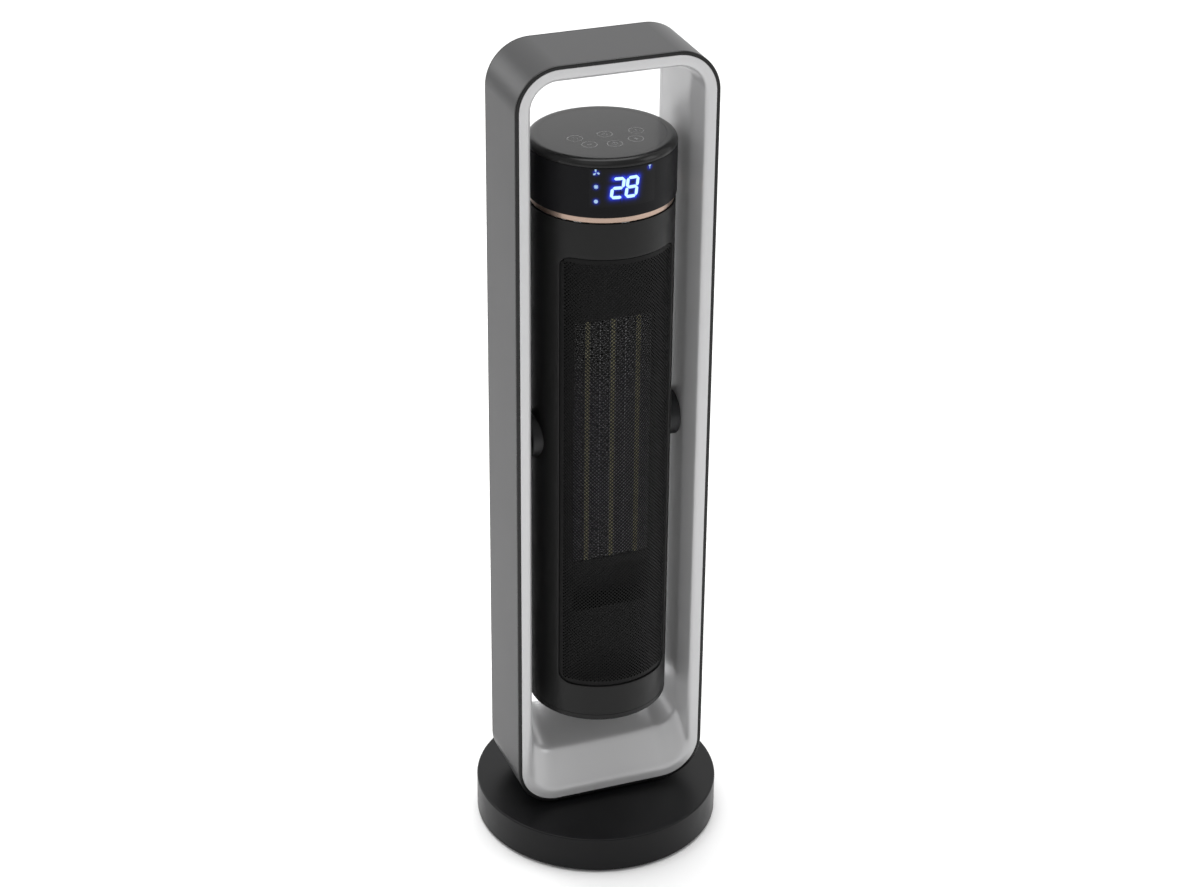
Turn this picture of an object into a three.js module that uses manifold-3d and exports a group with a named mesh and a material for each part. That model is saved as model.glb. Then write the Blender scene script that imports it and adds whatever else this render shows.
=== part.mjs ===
// A ceramic tower heater: a round heater body that tilts inside a tall frame, on a base that swings it.
// Millimetres, +Z up, front towards -Y. The origin is the centre of the circle that the feet stand on.
import * as THREE from "three";
import { mergeVertices } from "three/addons/utils/BufferGeometryUtils.js";
import Module from "manifold-3d";

const wasm = await Module();
wasm.setup();

// ---------------------------------------------------------------- driving dimensions

const GAP = 0.3; // between pieces that touch
const WELD = 1e-4;
const ROUND_SEGMENTS = 48; // of a full turn on the large cylinders
const HUB_SEGMENTS = 36; // of a full turn on the turntable
const MIDDLE_SEGMENTS = 32; // of a full turn on motors and bosses
const WHEEL_SEGMENTS = 24; // of a full turn on the blower
const SMALL_SEGMENTS = 16; // of a full turn on shafts and feet
const TINY_SEGMENTS = 10; // of a full turn on screws and small holes
const CORNER_SEGMENTS = 4; // arcs of the frame's corners have twice as many
const DEGREE = Math.PI / 180;
const FRONT = -90 * DEGREE; // directions about Z, counted from +X
const REAR = 90 * DEGREE;

// base
const BASE_RADIUS = 121;
const BASE_TOP = 39.4;
const BASE_WALL = 2.5;
const BASE_BOTTOM = 2.6; // lower edge of the cover, just clear of the floor
const BASE_RIM = 1.4; // small bevel round the cover's upper edge
const PLATE_THICKNESS = 2.2;
const FOOT_RADIUS = 8;
const FOOT_CIRCLE = 110;
const FOOT_COUNT = 6;
const FOOT_TURN = -82 * DEGREE; // direction of the first foot
const COLLAR_BORE = 21.4;
const COLLAR_BOTTOM = 30;

// swing drive: a sector gear on the hub and a pinion on the motor
const MODULE = 1.5; // pitch diameter per tooth
const HUB_TEETH = 60;
const PINION_TEETH = 12;
const SECTOR_TEETH = 19;
const GEAR_BOTTOM = 22.5;
const GEAR_THICKNESS = 7;
const BACKLASH = 0.35;
const PRESSURE_ANGLE = 20 * DEGREE;
const HUB_PITCH_RADIUS = (MODULE * HUB_TEETH) / 2;
const PINION_PITCH_RADIUS = (MODULE * PINION_TEETH) / 2;
const SHAFT_SPACING = HUB_PITCH_RADIUS + PINION_PITCH_RADIUS + 0.1;

// frame: a rounded rectangular loop
const FRAME_WIDTH = 194.4;
const FRAME_DEPTH = 83.5;
const FRAME_BOTTOM = 42.2;
const FRAME_TOP = 818.4;
const FRAME_RADIUS = 42;
const EDGE_WIDTH = 3.4; // black trim on the front and rear edges
const EDGE_DEPTH = 1.8;
const BAND_THICKNESS = 2;
const LINER_WALL = 3;
const LINER_BACK = 36; // where the front liner meets the rear liner
const HALF_WIDTH = FRAME_WIDTH / 2;
const HALF_DEPTH = FRAME_DEPTH / 2;

// heater body: a cylinder that tilts about the X axis
const BODY_RADIUS = 67.8;
const BODY_WALL = 2.5;
const BODY_BOTTOM = 144.7;
const CAP_HEIGHT = 6;
const SHELL_TOP = 672.8;
const RING_RADIUS = 66.4;
const RING_TOP = 679;
const BAND_RADIUS = 68.6;
const DISPLAY_TOP = 727;
const BODY_TOP = 734.7;
const CAP_RIM = 6; // rounding of the top cap's upper edge
const PANEL_RADIUS = 58.4;
const PIVOT_HEIGHT = 439.7;
const BOSS_RADIUS = 22.5;
const BOSS_END = 74.4;
const WINDOW_HALF = 55.2; // half width of the grille windows
const WINDOW_BOTTOM = 183.5;
const WINDOW_TOP = 638.5;
const WINDOW_RADIUS = 10;

// heating element
const ELEMENT_HALF = 37.6;
const ELEMENT_BOTTOM = 311;
const ELEMENT_TOP = 564;
const ELEMENT_FRONT = -34;
const ELEMENT_DEPTH = 12;
const BAR_THICKNESS = 4.2;
const FIN_COUNT = 12;

// cross-flow blower
const WHEEL_RADIUS = 26;
const WHEEL_AXIS = 27; // distance of its axis behind the body's axis
const WHEEL_BOTTOM = 302;
const WHEEL_TOP = 576;
const BLADE_COUNT = 12;
const BLADE_LEAN = 24; // degrees
const PLATE_SPAN = 1.6; // thickness of the wheel's plates
const SHAFT_RADIUS = 3;
const SHAFT_CLEARANCE = 0.4;
const HOUSING_BELOW = 6; // from the wheel down to the housing's end
const HOUSING_ABOVE = 8;
const HOUSING_PLATE = 2.4;
const SCROLL_RADII = [31, 33];
const SCROLL_ARC = [-40 * DEGREE, 80 * DEGREE];
const TONGUE_ARC = [195 * DEGREE, 222 * DEGREE];
const TONGUE_THICKNESS = 2;
const FAN_MOTOR_RADIUS = 24;
const FAN_MOTOR_NOSE = 9;
const FAN_MOTOR_HEIGHT = 50;
const BEARING_RADIUS = 8;
const BEARING_BORE = 3.35;
const BEARING_HEIGHT = 7;

// boards
const BOARD_THICKNESS = 1.6;
const CONTROL_LEVEL = 716;
const CONTROL_RADIUS = 48;
const CONTROL_FLAT = -46; // depth of the flat edge behind the display
const DISPLAY_BOARD_BACK = -51;
const DISPLAY_BOARD_SPAN = [686, 722];

// ---------------------------------------------------------------- geometry helpers

// A closed three.js geometry as a solid that can be joined and cut.
function solid(geometry) {
  const bare = geometry.clone();
  bare.deleteAttribute("normal");
  bare.deleteAttribute("uv");
  const merged = mergeVertices(bare, WELD);
  const index = merged.index.array;
  const corners = [];
  for (let i = 0; i < index.length; i += 3) {
    const [a, b, c] = [index[i], index[i + 1], index[i + 2]];
    if (a !== b && b !== c && a !== c) corners.push(a, b, c);
  }
  return new wasm.Manifold(
    new wasm.Mesh({
      numProp: 3,
      vertProperties: new Float32Array(merged.attributes.position.array),
      triVerts: new Uint32Array(corners),
    }),
  );
}

function geometryOf(made) {
  const mesh = made.getMesh();
  const geometry = new THREE.BufferGeometry();
  geometry.setAttribute("position", new THREE.BufferAttribute(mesh.vertProperties, 3));
  geometry.setIndex(new THREE.BufferAttribute(mesh.triVerts, 1));
  const flat = geometry.toNonIndexed();
  flat.computeVertexNormals();
  return flat;
}

function join(...solids) {
  return solids.reduce((all, next) => all.add(next));
}

function cut(from, ...tools) {
  return tools.reduce((left, tool) => left.subtract(tool), from);
}

// A profile of [radius, height] points turned about Z, counter-clockwise with the axis on its left.
function revolve(profile, segments = ROUND_SEGMENTS) {
  const points = profile.map(([radius, height]) => new THREE.Vector2(radius, height));
  return solid(new THREE.LatheGeometry(points, segments).rotateX(Math.PI / 2));
}

function disc(radius, bottom, top, segments = ROUND_SEGMENTS) {
  return revolve([[0, bottom], [radius, bottom], [radius, top], [0, top]], segments);
}

function tube(inner, outer, bottom, top, segments = ROUND_SEGMENTS) {
  const profile = [[inner, bottom], [outer, bottom], [outer, top], [inner, top], [inner, bottom]];
  return revolve(profile, segments);
}

// A round rod along X or Y.
function rodX(radius, from, to, segments = SMALL_SEGMENTS) {
  return disc(radius, from, to, segments).rotate([0, 90, 0]);
}

function rodY(radius, from, to, segments = SMALL_SEGMENTS) {
  return disc(radius, from, to, segments).rotate([-90, 0, 0]);
}

function box(x0, x1, y0, y1, z0, z1) {
  const geometry = new THREE.BoxGeometry(x1 - x0, y1 - y0, z1 - z0);
  geometry.translate((x0 + x1) / 2, (y0 + y1) / 2, (z0 + z1) / 2);
  return solid(geometry);
}

function extrudeUp(shape, bottom, top, curveSegments = 12) {
  const options = { depth: top - bottom, bevelEnabled: false, curveSegments };
  return solid(new THREE.ExtrudeGeometry(shape, options).translate(0, 0, bottom));
}

// Part of a tube between two directions about Z.
function tubeSector(inner, outer, from, to, bottom, top, curveSegments = 12) {
  const shape = new THREE.Shape();
  shape.absarc(0, 0, outer, from, to, false);
  shape.absarc(0, 0, inner, to, from, true);
  shape.closePath();
  return extrudeUp(shape, bottom, top, curveSegments);
}

function roundedRectangle(left, right, bottom, top, radius) {
  const shape = new THREE.Shape();
  shape.absarc(right - radius, bottom + radius, radius, -Math.PI / 2, 0, false);
  shape.absarc(right - radius, top - radius, radius, 0, Math.PI / 2, false);
  shape.absarc(left + radius, top - radius, radius, Math.PI / 2, Math.PI, false);
  shape.absarc(left + radius, bottom + radius, radius, Math.PI, 1.5 * Math.PI, false);
  shape.closePath();
  return shape;
}

// A shape of the XZ plane, extruded along Y.
function extrudeBack(shape, y0, y1, curveSegments = 4) {
  const options = { depth: y1 - y0, bevelEnabled: false, curveSegments };
  return solid(new THREE.ExtrudeGeometry(shape, options).rotateX(Math.PI / 2).translate(0, y1, 0));
}

// A solid through rounded rectangles of the XZ plane, one for each section, listed from front to back.
// It is a unit extrusion whose rings are moved onto the sections.
function loft(sections) {
  const steps = sections.length - 1;
  const unit = roundedRectangle(-2, 2, -2, 2, 1);
  const options = { depth: steps, steps, bevelEnabled: false, curveSegments: CORNER_SEGMENTS };
  const geometry = new THREE.ExtrudeGeometry(unit, options);
  const place = geometry.attributes.position;
  for (let i = 0; i < place.count; i += 1) {
    const x = place.getX(i);
    const up = place.getY(i);
    const { y, half, bottom, top, upperRadius, lowerRadius } = sections[steps - Math.round(place.getZ(i))];
    const side = Math.sign(x);
    const level = Math.sign(up);
    const radius = level > 0 ? upperRadius : lowerRadius;
    const cornerX = side * (half - radius);
    const cornerZ = level > 0 ? top - radius : bottom + radius;
    place.setXYZ(i, cornerX + (x - side) * radius, y, cornerZ + (up - level) * radius);
  }
  return solid(geometry);
}

// The frame's outline at a depth, drawn in from its outer face at the sides, the top and the foot.
function frameSection(y, side, top, foot, upperRadius, lowerRadius) {
  return {
    y,
    half: HALF_WIDTH - side,
    bottom: FRAME_BOTTOM + foot,
    top: FRAME_TOP - top,
    upperRadius,
    lowerRadius,
  };
}

function evenSection(y, inset) {
  const radius = FRAME_RADIUS - inset;
  return frameSection(y, inset, inset, inset, radius, radius);
}

function evenLoop(outerInset, innerInset, y0, y1) {
  const outside = loft([evenSection(y0, outerInset), evenSection(y1, outerInset)]);
  return cut(outside, loft([evenSection(y0 - 1, innerInset), evenSection(y1 + 1, innerInset)]));
}

// The flared inner face of the frame: a front face, a funnel, a soft crease and drafted walls behind it.
// Each row is a depth, how far it is drawn in at the sides, the top and the foot, and its corner radii.
const INNER_FACE = [
  [-HALF_DEPTH, 11, 11, 11, 31, 31],
  [-41, 13, 13, 14, 29, 29],
  [-39.4, 14.6, 14.6, 17.5, 27, 28],
  [-24.5, 19.8, 20.6, 46.5, 13, 25],
  [-22, 20.6, 21.4, 49.8, 10.5, 24],
  [-18, 21.1, 22.2, 51.4, 9.5, 23.5],
  [HALF_DEPTH, 25.4, 28, 66, 9, 22],
];

function innerFace(drawBack, front, back) {
  const kept = INNER_FACE.filter(([y]) => y > front && y < back);
  const at = (y) => {
    const after = INNER_FACE.findIndex((row) => row[0] >= y);
    const [a, b] = [INNER_FACE[Math.max(after - 1, 0)], INNER_FACE[after]];
    const share = a === b ? 0 : (y - a[0]) / (b[0] - a[0]);
    return a.map((value, i) => value + (b[i] - value) * share);
  };
  return [at(front), ...kept, at(back)].map(([y, side, top, foot, upper, lower]) =>
    frameSection(y, side - drawBack, top - drawBack, foot - drawBack, upper + drawBack, lower + drawBack),
  );
}

// The same face, run on a little past both ends so that it cuts cleanly.
function throughInnerFace() {
  const sections = innerFace(0, -HALF_DEPTH, HALF_DEPTH);
  const first = sections[0];
  const last = sections[sections.length - 1];
  return loft([{ ...first, y: first.y - 1 }, ...sections, { ...last, y: last.y + 1 }]);
}

// How far an involute flank has turned where it reaches a radius.
function involuteAngle(radius, baseRadius) {
  const reach = Math.max(radius / baseRadius, 1);
  return Math.sqrt(reach * reach - 1) - Math.acos(1 / reach);
}

// The outline points of spur teeth, from the first to the last, going round from a direction.
function toothPoints(teeth, count, middle) {
  const pitch = (MODULE * teeth) / 2;
  const base = pitch * Math.cos(PRESSURE_ANGLE);
  const tip = pitch + 0.9 * MODULE;
  const root = pitch - 1.2 * MODULE;
  const halfTooth = Math.PI / (2 * teeth) - BACKLASH / 2 / pitch;
  const spread = (radius) =>
    halfTooth + involuteAngle(pitch, base) - involuteAngle(radius, base);
  const flank = [root, Math.max(base, root + 0.3), pitch, tip];
  const points = [];
  for (let tooth = 0; tooth < count; tooth += 1) {
    const centre = middle + ((tooth - (count - 1) / 2) * 2 * Math.PI) / teeth;
    const turn = (radius, angle) => [radius * Math.cos(angle), radius * Math.sin(angle)];
    flank.forEach((radius) => points.push(turn(radius, centre - spread(radius))));
    [...flank].reverse().forEach((radius) => points.push(turn(radius, centre + spread(radius))));
  }
  return points.map(([x, y]) => new THREE.Vector2(x, y));
}

// ---------------------------------------------------------------- finishes

const FINISHES = {
  satinBlack: { color: 0x1c1c1d, roughness: 0.45, metalness: 0.0 },
  glossBlack: { color: 0x0c0c0d, roughness: 0.12, metalness: 0.0 },
  panelGrey: { color: 0x3c3c3d, roughness: 0.35, metalness: 0.0 },
  bandGrey: { color: 0x5b5b5c, roughness: 0.38, metalness: 0.7 },
  linerGrey: { color: 0xb9b9b8, roughness: 0.4, metalness: 0.1 },
  roseGold: { color: 0xb8937a, roughness: 0.25, metalness: 0.9 },
  rubber: { color: 0x151515, roughness: 0.9, metalness: 0.0 },
  ironGrey: { color: 0x4a4846, roughness: 0.8, metalness: 0.4 },
  steel: { color: 0x9a9a9a, roughness: 0.35, metalness: 0.9 },
  aluminium: { color: 0xb5b6b8, roughness: 0.4, metalness: 0.8 },
  ceramic: { color: 0x7b7554, roughness: 0.7, metalness: 0.0 },
  boardGreen: { color: 0x1f4a34, roughness: 0.6, metalness: 0.0 },
  whiteNylon: { color: 0xd8d5cc, roughness: 0.5, metalness: 0.0 },
};

const MATERIALS = Object.fromEntries(
  Object.entries(FINISHES).map(([name, values]) => [name, new THREE.MeshStandardMaterial(values)]),
);

function piece(name, made, finish) {
  const mesh = new THREE.Mesh(geometryOf(made), MATERIALS[finish]);
  mesh.name = name;
  return mesh;
}

function groupOf(...meshes) {
  const group = new THREE.Group();
  group.add(...meshes);
  return group;
}

// The same piece at several places on a circle about Z.
function around(name, made, finish, count, radius, turn) {
  return Array.from({ length: count }, (_, i) => {
    const direction = turn + (i * 2 * Math.PI) / count;
    const mesh = piece(`${name}_${i + 1}`, made, finish);
    mesh.position.set(radius * Math.cos(direction), radius * Math.sin(direction), 0);
    mesh.rotation.z = direction;
    return mesh;
  });
}

function onCircle(made, count, radius, turn) {
  return Array.from({ length: count }, (_, i) => {
    const direction = turn + (i * 2 * Math.PI) / count;
    return made.translate([radius * Math.cos(direction), radius * Math.sin(direction), 0]);
  });
}

// ---------------------------------------------------------------- base

const PLATE_BOTTOM = BASE_BOTTOM + 0.4;
const PLATE_TOP = PLATE_BOTTOM + PLATE_THICKNESS;
const BASE_INNER = BASE_RADIUS - BASE_WALL;
const COLLAR_WALL = 2.6;
const SCREW_CIRCLE = 107;
const SCREW_TURN = -52 * DEGREE;
const SCREW_COUNT = 3;
const SCREW_HOLE = 1.9;
const POST_BORE = 1.7; // of the posts that take the screws
const POST_RADIUS = 4;
const FOOT_PEG = 3;
const FOOT_PEG_RISE = 1.4; // of the peg above the plate
const BALLAST_RADII = [52, 101];
const BALLAST_ARC = [152 * DEGREE, 388 * DEGREE];
const BALLAST_TOP = 14;
const MOTOR_RADIUS = 25;
const MOTOR_TOP = 20;
const MOTOR_NOSE = 6;
const MOTOR_BORE = 2.6;
const MOTOR_EAR = 7; // reach of the mounting ears past the can
const PINION_SHAFT = 2.3;
const SWITCH_CIRCLE = 92;
const SWITCH_TURN = 130 * DEGREE;
const SWITCH_TOP = 22;
const SWITCH_HALVES = [8, 7]; // half sizes of the tip switch
const LUG_HALVES = [13, 4];
const LUG_THICKNESS = 3;
const PLUNGER_RADIUS = 3;
const PLUNGER_CLEARANCE = 0.4;
const PLUNGER_TOP = 13;
const ROCKER_TURN = 58 * DEGREE;
const ROCKER_HEIGHT = 20.4;
const ROCKER_ON = 8; // degrees that the pressed rocker leans
const ROCKER_REACH = 8.6; // of its face above and below the pivot
const ROCKER_HALF = 5.2;
const ROCKER_BACK = [-5.5, 3.4]; // depth and half height of its back
const ROCKER_RISE = 0.4; // of the ends of its hollow face
const BEZEL_PLATE = [8.6, 12.6]; // half sizes of the bezel's parts
const BEZEL_BODY = [7, 11];
const BEZEL_WELL = [5.6, 9.8];
const BEZEL_THICKNESS = 1.5;
const BEZEL_DEPTH = 14;
const WELL_DEPTH = 9;
const GLAND_HEIGHT = 17;
const GLAND_HOLE = 6.3;
const GLAND_BORE = 3.6;
const GLAND_FLANGE = 8.5;

// A box centred on the X axis, between two depths, from its half width and half height.
function boxOnX(x0, x1, [halfWidth, halfHeight]) {
  return box(x0, x1, -halfWidth, halfWidth, -halfHeight, halfHeight);
}

function switchHole() {
  const opening = boxOnX(BASE_INNER - 4, BASE_RADIUS + 3, BEZEL_BODY.map((half) => half + GAP));
  return opening.translate([0, 0, ROCKER_HEIGHT]).rotate([0, 0, ROCKER_TURN / DEGREE]);
}

function glandHole() {
  return rodY(GLAND_HOLE, BASE_INNER - 4, BASE_RADIUS + 2).translate([0, 0, GLAND_HEIGHT]);
}

function baseCover() {
  const under = BASE_TOP - BASE_WALL;
  const shell = revolve([
    [COLLAR_BORE, COLLAR_BOTTOM],
    [COLLAR_BORE + COLLAR_WALL, COLLAR_BOTTOM],
    [COLLAR_BORE + COLLAR_WALL, under],
    [BASE_INNER, under],
    [BASE_INNER, BASE_BOTTOM],
    [BASE_RADIUS, BASE_BOTTOM],
    [BASE_RADIUS, BASE_TOP - BASE_RIM],
    [BASE_RADIUS - BASE_RIM, BASE_TOP],
    [COLLAR_BORE, BASE_TOP],
    [COLLAR_BORE, COLLAR_BOTTOM],
  ]);
  const post = tube(POST_BORE, POST_RADIUS, PLATE_TOP + GAP, under + 0.5, TINY_SEGMENTS);
  const posts = onCircle(post, SCREW_COUNT, SCREW_CIRCLE, SCREW_TURN);
  return cut(join(shell, ...posts), switchHole(), glandHole());
}

function basePlate() {
  const plate = disc(BASE_INNER - GAP, PLATE_BOTTOM, PLATE_TOP);
  const hole = (radius) => disc(radius, 0, 2 * PLATE_TOP, TINY_SEGMENTS);
  return cut(
    plate,
    ...onCircle(hole(FOOT_PEG + GAP), FOOT_COUNT, FOOT_CIRCLE, FOOT_TURN),
    ...onCircle(hole(SCREW_HOLE), SCREW_COUNT, SCREW_CIRCLE, SCREW_TURN),
    ...onCircle(hole(PLUNGER_RADIUS + PLUNGER_CLEARANCE), 1, SWITCH_CIRCLE, SWITCH_TURN),
  );
}

function foot() {
  return revolve(
    [
      [0, 0],
      [FOOT_RADIUS, 0],
      [FOOT_RADIUS, PLATE_BOTTOM - GAP],
      [FOOT_PEG, PLATE_BOTTOM - GAP],
      [FOOT_PEG, PLATE_TOP + FOOT_PEG_RISE],
      [0, PLATE_TOP + FOOT_PEG_RISE],
    ],
    16,
  );
}

// A pan-head screw standing on its head.
function screw(headRadius, headHeight, shankRadius, length) {
  return revolve(
    [
      [0, 0],
      [headRadius * 0.8, 0],
      [headRadius, headHeight * 0.5],
      [headRadius, headHeight],
      [shankRadius, headHeight],
      [shankRadius, headHeight + length],
      [0, headHeight + length],
    ],
    TINY_SEGMENTS,
  );
}

function ballastPlate() {
  return tubeSector(...BALLAST_RADII, ...BALLAST_ARC, PLATE_TOP + GAP, BALLAST_TOP);
}

function oscillationMotor() {
  const reach = MOTOR_RADIUS + MOTOR_EAR;
  const can = disc(MOTOR_RADIUS, PLATE_TOP + GAP, MOTOR_TOP, MIDDLE_SEGMENTS);
  const nose = disc(MOTOR_NOSE, MOTOR_TOP - 1, GEAR_BOTTOM - 2 * GAP, SMALL_SEGMENTS);
  const bore = disc(MOTOR_BORE, MOTOR_TOP - 8, GEAR_BOTTOM, TINY_SEGMENTS);
  const ear = box(-reach, reach, -4, 4, MOTOR_TOP - 2, MOTOR_TOP - 0.5);
  return cut(join(can, nose, ear), bore).translate([0, SHAFT_SPACING, 0]);
}

function drivePinion() {
  const outline = new THREE.Shape(toothPoints(PINION_TEETH, PINION_TEETH, FRONT));
  const teeth = extrudeUp(outline, GEAR_BOTTOM, GEAR_BOTTOM + GEAR_THICKNESS);
  return join(teeth, disc(PINION_SHAFT, MOTOR_TOP - 7, GEAR_BOTTOM + 1, TINY_SEGMENTS));
}

function tipSwitch() {
  const bottom = PLATE_TOP + GAP;
  const block = ([halfX, halfY], top) => box(-halfX, halfX, -halfY, halfY, bottom, top);
  const body = block(SWITCH_HALVES, SWITCH_TOP);
  const lug = block(LUG_HALVES, PLATE_TOP + LUG_THICKNESS);
  const well = disc(PLUNGER_RADIUS + PLUNGER_CLEARANCE, 0, SWITCH_TOP - 4, TINY_SEGMENTS);
  return cut(join(body, lug), well);
}

function tipPlunger() {
  return disc(PLUNGER_RADIUS, 0, PLUNGER_TOP, TINY_SEGMENTS);
}

function cordGland() {
  const sleeve = tube(GLAND_BORE, GLAND_HOLE - GAP, -4, 3, SMALL_SEGMENTS);
  const flange = tube(GLAND_BORE, GLAND_FLANGE, -4, -0.9, SMALL_SEGMENTS);
  return join(sleeve, flange).rotate([-90, 0, 0]).translate([0, BASE_INNER - 0.7, GLAND_HEIGHT]);
}

// The rocker and its bezel face +X here and are turned onto the base's wall.
function rockerBezel() {
  const plate = boxOnX(BASE_RADIUS + GAP, BASE_RADIUS + BEZEL_THICKNESS, BEZEL_PLATE);
  const body = boxOnX(BASE_RADIUS - BEZEL_DEPTH, BASE_RADIUS + 1, BEZEL_BODY);
  const well = boxOnX(BASE_RADIUS - WELL_DEPTH, BASE_RADIUS + 3, BEZEL_WELL);
  return cut(join(plate, body), well).translate([0, 0, ROCKER_HEIGHT]);
}

function powerRocker() {
  const shape = new THREE.Shape();
  const [back, halfBack] = ROCKER_BACK;
  shape.moveTo(back, -halfBack);
  shape.lineTo(back, halfBack);
  shape.lineTo(ROCKER_RISE, ROCKER_REACH);
  shape.quadraticCurveTo(-1.2, 0, ROCKER_RISE, -ROCKER_REACH);
  shape.closePath();
  const options = { depth: 2 * ROCKER_HALF, bevelEnabled: false, curveSegments: 6 };
  const rocker = new THREE.ExtrudeGeometry(shape, options).translate(0, 0, -ROCKER_HALF);
  return solid(rocker.rotateX(-Math.PI / 2));
}

function makeBase() {
  const motorSide = piece("drive_pinion", drivePinion(), "whiteNylon");
  motorSide.position.y = SHAFT_SPACING;
  const switchAt = [
    SWITCH_CIRCLE * Math.cos(SWITCH_TURN),
    SWITCH_CIRCLE * Math.sin(SWITCH_TURN),
    0,
  ];
  const tip = piece("tip_switch", tipSwitch(), "satinBlack");
  tip.position.set(...switchAt);
  const plunger = piece("tip_plunger", tipPlunger(), "whiteNylon");
  plunger.position.set(...switchAt);

  const rocker = piece("power_rocker", powerRocker(), "glossBlack");
  rocker.position.set(BASE_RADIUS - 0.6, 0, ROCKER_HEIGHT);
  rocker.rotation.y = ROCKER_ON * DEGREE;
  const powerSwitch = groupOf(piece("rocker_bezel", rockerBezel(), "satinBlack"), rocker);
  powerSwitch.rotation.z = ROCKER_TURN;

  const baseScrew = screw(3.4, 2, 1.4, 10).translate([0, 0, PLATE_BOTTOM - 2 - GAP]);
  return groupOf(
    piece("base_cover", baseCover(), "satinBlack"),
    piece("base_plate", basePlate(), "satinBlack"),
    piece("ballast_plate", ballastPlate(), "ironGrey"),
    piece("oscillation_motor", oscillationMotor(), "steel"),
    piece("cord_gland", cordGland(), "satinBlack"),
    ...around("foot", foot(), "rubber", FOOT_COUNT, FOOT_CIRCLE, FOOT_TURN),
    ...around("base_screw", baseScrew, "steel", SCREW_COUNT, SCREW_CIRCLE, SCREW_TURN),
    motorSide,
    tip,
    plunger,
    powerSwitch,
  );
}

// ---------------------------------------------------------------- frame that swings on the base

const HUB_RADIUS = 21;
const HUB_BORE = 12;
const HUB_TOP = 58;
const HUB_FOOT_RADIUS = 18;
const HUB_HOLE = HUB_RADIUS + GAP;
const TURNTABLE_RADIUS = 38;
const BUSHING_RADIUS = 10;
const PIN_RADIUS = 7;
const PIN_CLEARANCE = 0.4;
const SEAT_RADIUS = BOSS_RADIUS + 1.2;
const SEAT_FACE = BOSS_END + 0.5;
const LINER_TOP_JOINT = 770; // above it lies the liner's top bar with its two corners
const LINER_FOOT_JOINT = 134; // below it lies the liners' foot with its two corners
const CHANNEL_WALL = 2.2; // of the liners beside the band
const CHANNEL_FRONT = -37;
const REAR_FACE_WALL = 2.6;
const BUSHING_FLANGE = 14;
const BUSHING_END = 86;
const FLANGE_SPAN = [79.4, 81.4];
const GEAR_RIM = 26; // inner radius of the gear's sector
const GEAR_RING = 30;

function bottomHole() {
  return disc(HUB_HOLE, FRAME_BOTTOM - 2, FRAME_BOTTOM + 8, HUB_SEGMENTS);
}

function outerBand() {
  const end = HALF_DEPTH - EDGE_DEPTH - GAP;
  return cut(evenLoop(0, BAND_THICKNESS, -end, end), bottomHole());
}

function edgeTrim(front) {
  const outer = front ? -HALF_DEPTH : HALF_DEPTH - EDGE_DEPTH;
  return evenLoop(0, EDGE_WIDTH, outer, outer + EDGE_DEPTH);
}

// Outside of the liners: stepped in behind the edge trims, against the band between them.
function linerOutside(y0, y1) {
  const step = HALF_DEPTH - EDGE_DEPTH - GAP;
  const narrow = EDGE_WIDTH + GAP;
  const wide = BAND_THICKNESS + GAP;
  const inset = (y) => (Math.abs(y) > step ? narrow : wide);
  const sections = [evenSection(y0, inset(y0))];
  if (y0 < -step) sections.push(evenSection(-step, narrow), evenSection(-step, wide));
  if (y1 > step) sections.push(evenSection(step, wide), evenSection(step, narrow));
  sections.push(evenSection(y1, inset(y1)));
  return loft(sections);
}

// The hollow of the liners between their outer and inner walls.
function linerChannel(y0, y1) {
  const outerInset = BAND_THICKNESS + GAP + CHANNEL_WALL;
  const outer = loft([evenSection(y0, outerInset), evenSection(y1, outerInset)]);
  const inner = innerFace(LINER_WALL, y0, y1);
  const first = inner[0];
  const last = inner[inner.length - 1];
  return cut(outer, loft([{ ...first, y: first.y - 1 }, ...inner, { ...last, y: last.y + 1 }]));
}

function pivotSeats() {
  const seat = rodX(SEAT_RADIUS, -SEAT_FACE, SEAT_FACE, MIDDLE_SEGMENTS);
  const bore = rodX(BUSHING_RADIUS + GAP, 1 - BUSHING_END, BUSHING_END - 1);
  return join(seat, bore).translate([0, 0, PIVOT_HEIGHT]);
}

// One length of a liner, between two sides and two heights.
function lengthOf(liner, x0, x1, z0, z1) {
  return liner.intersect(box(x0, x1, -2 * HALF_DEPTH, 2 * HALF_DEPTH, z0, z1));
}

function topAndFoot(liner) {
  return {
    top: lengthOf(liner, -HALF_WIDTH, HALF_WIDTH, LINER_TOP_JOINT + GAP, FRAME_TOP),
    foot: lengthOf(liner, -HALF_WIDTH, HALF_WIDTH, FRAME_BOTTOM, LINER_FOOT_JOINT),
  };
}

// The deep front lengths of the lining, open at the back, where the shallow rear lengths close them.
function frontLiner() {
  const outside = linerOutside(-HALF_DEPTH, LINER_BACK);
  const channel = linerChannel(CHANNEL_FRONT, LINER_BACK + 1);
  return topAndFoot(cut(outside, throughInnerFace(), channel, bottomHole()));
}

function rearLiner() {
  const outside = linerOutside(LINER_BACK + GAP, HALF_DEPTH);
  const channel = linerChannel(LINER_BACK - 1, HALF_DEPTH - REAR_FACE_WALL);
  return topAndFoot(cut(outside, throughInnerFace(), channel));
}

// The two uprights run from the front face to the back one, and carry the pivots.
function linerUprights() {
  const outside = linerOutside(-HALF_DEPTH, HALF_DEPTH);
  const channel = linerChannel(CHANNEL_FRONT, HALF_DEPTH - REAR_FACE_WALL);
  const whole = cut(outside, throughInnerFace(), channel, pivotSeats());
  const low = LINER_FOOT_JOINT + GAP;
  return {
    left: lengthOf(whole, -HALF_WIDTH, 0, low, LINER_TOP_JOINT),
    right: lengthOf(whole, 0, HALF_WIDTH, low, LINER_TOP_JOINT),
  };
}

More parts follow.
